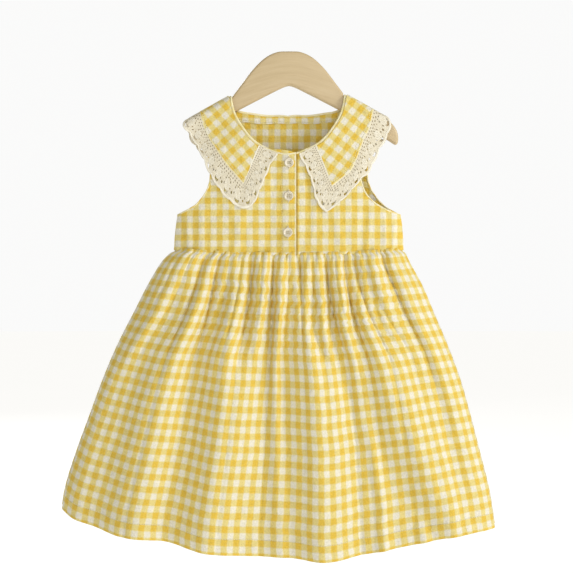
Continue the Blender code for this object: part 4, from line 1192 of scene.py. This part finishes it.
def lace_cotton():
    """Cream threads: slots, pinholes and small arcs are open, the ground is closely knotted."""
    made, shader, value = finish("lace_cotton", 0.85)
    flat = value.sheet_map("flat")
    x, y, _ = flat.parts()
    s, t = x * (1 / MM), y * (1 / MM)

    def repeat(along_band, length):
        """Distance along the band from the middle of the nearest repeat."""
        return along_band.maths("PINGPONG", along_band, length / 2)

    def oval(x, y, wide, tall):
        """1 inside an oval, with a soft edge."""
        return ((x / wide) * (x / wide) + (y / tall) * (y / tall)).within(1.2, 0.7)

    def joined(first, *masks):
        for mask in masks:
            first = first.maths("MAXIMUM", first, mask)
        return first

    bulge = repeat(s + SCALLOP / 2, SCALLOP)
    level = t - 12.4
    ring = bulge * bulge + level * level
    ring = ring.maths("SQRT", ring)
    angle = level.maths("ARCTAN2", level, bulge)
    dots = angle.maths("SINE", angle * 7.0).within(0.35, 0.75)
    open_arc = (ring - 5.4).size().within(0.65, 0.35) * dots
    slots = oval(bulge, t - 18.2, 2.6, 1.1)
    between = oval(repeat(s, SCALLOP), t - 15.0, 1.0, 1.1)
    pins = joined(
        oval(repeat(s, SCALLOP / 4), t - 2.3, 0.85, 0.7),
        oval(repeat(s + SCALLOP / 8, SCALLOP / 4), t - 4.8, 0.9, 0.8),
        oval(repeat(s, SCALLOP / 3), t - 7.0, 0.65, 0.6),
    )
    holes = joined(slots, open_arc * 0.9, between, pins * 0.5)
    header = t.within(1.1, 0.5)
    rays = (angle.maths("SINE", angle * 12.0) * 0.5 + 0.5) * ring.within(4.6, 4.0)
    rays = rays * ring.within(1.0, 1.6)
    cord = (t - 20.8).size().within(1.1, 0.5)
    knots = (s + t * 0.6).wave(1.25) * (s - t * 0.6).wave(1.25) * 0.5 + 0.5
    fuzz = flat.noise(1300.0, 2.0)
    tone = knots * 0.35 + fuzz * 0.45 + rays * 0.2 + cord * 0.25 + flat.noise(190.0, 1.0) * 0.3
    # Taking holes * 0.3 off the tone darkens the threads round the holes: painted shade.
    tone = tone + header * 0.5 - holes * 0.3
    tone = tone.within(0.25, 0.9)
    colour = tone.ramp((0.60, 0.51, 0.34), (0.77, 0.705, 0.545), (0.90, 0.86, 0.74))
    # The brown at the holes' soft edges is painted shade: the cloth seen through the lace, in
    # shadow.
    colour = colour.mixed((0.40, 0.27, 0.11), holes.within(0.1, 0.6) * 0.6)
    link(colour, shader.inputs["Base Color"])
    link(1.0 - holes.within(0.35, 0.65), shader.inputs["Alpha"])
    relief = knots * 0.2 + fuzz * 0.25 - holes * 0.6 + rays * 0.35 + cord * 0.6 + header * 0.5
    bumped(shader, relief, 0.0008, 0.7)
    shader.inputs["Specular IOR Level"].default_value = 0.2
    return made


def lace_lift(x, run, share):
    return edge_lift(x, run) + 0.35 * share * (1.0 + math.sin(x * 0.21 + run * 0.17))


thread = lace_cotton()
for hand, word in HANDS:
    gingham_edge, free_edge = collar_edge(word, lace=False), collar_edge(word, lace=True)
    neck_start = collar_neck(hand, word)[0]
    steps = RIBS_A_SCALLOP * SCALLOPS_FRONT
    front = sampled(on_bodice(LACE_FRONTS[word][::-1], 1), steps)
    straight = [
        tuple(lerp(a, b, k / steps) for a, b in zip(neck_start, gingham_edge[0]))
        for k in range(steps + 1)
    ]
    ribs = list(zip(straight, front)) + list(zip(gingham_edge, free_edge))[1:]

    def lace_shares(k, near, far):
        width = math.dist(near, far)
        bulge = abs(math.sin(math.pi * k / RIBS_A_SCALLOP)) ** 0.8
        reach = 1.0 - SCALLOP_DEPTH * (1.0 - bulge) / width
        shares = np.linspace(-LACE_TUCK / width, 1.0, LACE_COLUMNS)
        return shares - (1.0 - reach) * ease((shares - 0.7) / 0.3)

    def lace_flat(k, j, x, run):
        return k / RIBS_A_SCALLOP * SCALLOP * MM, j / (LACE_COLUMNS - 1) * LACE_WIDTH * MM

    grids = ribs_to_grids(ribs, lace_shares, hand, LACE_WALL, lace_flat, lace_lift)
    lace = cloth(f"lace_band_{word}", [grids], thread)
    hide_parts(f"lace_{word}")


# Three four-hole buttons of pale horn-like plastic close the front lap. Each is turned with a
# raised rim and sewn on through its holes over a stitched upright buttonhole.
BUTTON_HOLE = 1.2
BUTTON_SEAT = 0.5
BUTTONHOLE_SEAT = 0.45
BAR_STEPS = (-1.3, -1.1, -0.7, 0.0, 0.7, 1.1, 1.3)
BUTTONHOLE_LONG = 15.5
BUTTONHOLE_WIDE = 1.7
BUTTON_DROPS = (141.5, 183.0, 228.5)
BUTTON_ACROSS = (0.0, -0.5, -1.5)
BUTTON_PROFILE = (
    # radius, height
    (0.0, 0.0), (5.2, 0.0), (5.8, 0.35), (6.0, 1.0), (5.9, 1.7), (5.5, 2.2), (5.0, 2.4),
    (4.5, 2.25), (4.1, 1.8), (3.6, 1.55), (0.0, 1.5),
)


def on_lap(x, drop, height):
    """A place this far above the lapping front."""
    return bodice_lift(x, run_of(x, drop), lap_rise(x) + height)


def horn_plastic():
    """Cloudy cream plastic with a gloss."""
    made, shader, value = finish("horn_plastic", 0.3)
    place = value.place()
    cloud = place.noise(260.0, 3.0).within(0.3, 0.7)
    link(cloud.ramp((0.60, 0.53, 0.39), (0.78, 0.72, 0.58)), shader.inputs["Base Color"])
    link(0.22 + cloud * 0.15, shader.inputs["Roughness"])
    return made


def turned(name, profile, steps=40):
    """A turned form standing on the origin, its axis along Y and its face to the front."""
    mesh = bpy.data.meshes.new(name)
    points = [(radius * MM, -height * MM, 0.0) for radius, height in profile]
    mesh.from_pydata(points, [(k, k + 1) for k in range(len(profile) - 1)], [])
    form = placed(name, mesh)
    bpy.ops.object.mode_set(mode="EDIT")
    bpy.ops.mesh.select_all(action="SELECT")
    bpy.ops.mesh.spin(steps=steps, angle=2 * math.pi, center=(0, 0, 0), axis=(0, 1, 0))
    bpy.ops.object.mode_set(mode="OBJECT")
    return welded(form, 50)


def drilled(form, places, radius):
    """Round holes through a form along Y."""
    for x, z in places:
        bpy.ops.object.select_all(action="DESELECT")
        bpy.ops.mesh.primitive_cylinder_add(
            vertices=16,
            radius=radius * MM,
            depth=20 * MM,
            location=(x * MM, 0.0, z * MM),
            rotation=(math.pi / 2, 0.0, 0.0),
        )
        cutter = bpy.context.object
        cut = form.modifiers.new("hole", "BOOLEAN")
        cut.operation = "DIFFERENCE"
        cut.solver = "EXACT"
        cut.object = cutter
        bpy.context.view_layer.objects.active = form
        bpy.ops.object.modifier_apply(modifier="hole")
        bpy.data.objects.remove(cutter, do_unlink=True)


horn = horn_plastic()
button_form = turned("button_form", BUTTON_PROFILE)
holes = (-BUTTON_HOLE, BUTTON_HOLE)
drilled(button_form, [(x, z) for x in holes for z in holes], 0.75)
button_form.data.materials.append(horn)
for k, (drop, across) in enumerate(zip(BUTTON_DROPS, BUTTON_ACROSS)):
    button = button_form.copy()
    button.data = button_form.data.copy()
    button.name = button.data.name = f"horn_button_{k + 1}"
    bpy.context.scene.collection.objects.link(button)
    seat = on_lap(across, drop, BUTTON_SEAT)
    for vertex in button.data.vertices:
        vertex.co += seat * MM
    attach(button, "root")
    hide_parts(f"button_{k + 1}")
bpy.data.objects.remove(button_form, do_unlink=True)


def sewing_thread():
    """Cream cotton thread laid close, with a fine twist."""
    made, shader, value = finish("sewing_thread", 0.7)
    place = value.place()
    x, _, z = place.parts()
    twist = (z + x * 0.4).wave(0.7 * MM) * 0.5 + 0.5
    tone = twist * 0.6 + place.noise(700.0) * 0.4
    link(tone.ramp((0.62, 0.50, 0.25), (0.82, 0.75, 0.54)), shader.inputs["Base Color"])
    bumped(shader, twist, 0.0002, 0.8)
    return made


def thread_run(name, runs, thick, closed):
    """Round thread along each run of places in mm, as one mesh."""
    curve = bpy.data.curves.new(name, "CURVE")
    curve.dimensions = "3D"
    curve.bevel_depth = thick / 2 * MM
    curve.bevel_resolution = 2
    curve.use_fill_caps = not closed
    for run in runs:
        line = curve.splines.new("POLY")
        line.points.add(len(run) - 1)
        line.use_cyclic_u = closed
        for point, place in zip(line.points, run):
            point.co = (*(Vector(place) * MM), 1.0)
    sewn = placed(name, curve)
    bpy.ops.object.convert(target="MESH")
    welded(sewn, 60, 1e-6)
    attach(sewn, "root")
    return sewn


sewing = sewing_thread()
for k, (drop, across) in enumerate(zip(BUTTON_DROPS, BUTTON_ACROSS)):
    seat = on_lap(across, drop, BUTTON_SEAT)
    bars = []
    for x in (-BUTTON_HOLE, BUTTON_HOLE):
        bar = [(x, z, 1.0 if abs(z) > BUTTON_HOLE * 0.9 else 1.95) for z in BAR_STEPS]
        bars.append([seat + Vector((x, -height, z)) for x, z, height in bar])
    threads = thread_run(f"button_thread_{k + 1}", bars, 0.6, closed=False)
    threads.data.materials.append(sewing)
    ring = []
    for step in range(48):
        turn = 2 * math.pi * step / 48
        x = across + BUTTONHOLE_WIDE / 2 * math.cos(turn)
        z = BUTTONHOLE_LONG / 2 * math.copysign(abs(math.sin(turn)) ** 0.5, math.sin(turn))
        ring.append(on_lap(x, drop - z, BUTTONHOLE_SEAT))
    hole = thread_run(f"buttonhole_{k + 1}", [ring], 1.1, closed=True)
    hole.data.materials.append(sewing)


# The studio: a pale floor below the hem, a plain pale surround, large soft lamps high at the
# right, in front and behind at the left, and a long lens straight in front.
FLOOR_DROP = 0.74
CAMERA_AWAY = 2.006
CAMERA_LENS = 100.0
VIEW_CENTRE = (-0.00315, -0.2961)

bpy.ops.object.select_all(action="DESELECT")
bpy.ops.mesh.primitive_circle_add(
    vertices=96, radius=14.0, fill_type="NGON", location=(0, 0, -FLOOR_DROP)
)
floor = bpy.context.object
floor.name = "floor"
floor_paint, floor_shader, value = finish("floor_paint", 0.95)
floor_shader.inputs["Emission Color"].default_value = (1.0, 0.995, 0.98, 1.0)
floor_shader.inputs["Emission Strength"].default_value = 0.87
spot = value.place().noise(3.0)
link(spot.ramp((0.24, 0.24, 0.237), (0.27, 0.27, 0.267)), floor_shader.inputs["Base Color"])
floor.data.materials.append(floor_paint)


def soft_lamp(name, place, aim, size, power):
    lamp = bpy.data.lights.new(name, "AREA")
    lamp.shape = "DISK"
    lamp.size = size
    lamp.energy = power
    stand = placed(name, lamp)
    stand.location = place
    stand.rotation_euler = (Vector(aim) - Vector(place)).to_track_quat("-Z", "Y").to_euler()


soft_lamp("key_lamp", (2.4, -1.1, 0.9), (0.0, 0.0, -0.32), 1.1, 46.0)
soft_lamp("front_lamp", (0.5, -2.7, 0.4), (0.0, 0.0, -0.25), 1.2, 18.0)
soft_lamp("back_lamp", (-1.6, 2.4, 0.9), (0.0, 0.0, -0.32), 1.4, 42.0)

surround = bpy.data.worlds.new("surround")
surround.use_nodes = True
value = Value(surround.node_tree, None)
sky, backdrop = (
    value.node("ShaderNodeBackground", {}, {"Color": (*colour, 1.0), "Strength": strength})
    for colour, strength in (((1.0, 0.955, 0.83), 0.31), ((0.96, 0.96, 0.955), 1.0))
)
seen = value.node("ShaderNodeLightPath").out("Is Camera Ray")
chosen = value.node("ShaderNodeMixShader", {}, {0: seen, 1: sky, 2: backdrop})
link(chosen, surround.node_tree.nodes["World Output"].inputs[0])
bpy.context.scene.world = surround
bpy.context.scene.view_settings.view_transform = "Standard"

camera = bpy.data.cameras.new("camera")
camera.lens = CAMERA_LENS
camera.sensor_width = 36.0
stand = placed("camera", camera)
stand.location = (VIEW_CENTRE[0], -CAMERA_AWAY, VIEW_CENTRE[1])
stand.rotation_euler = (math.pi / 2, 0.0, 0.0)
bpy.context.scene.camera = stand
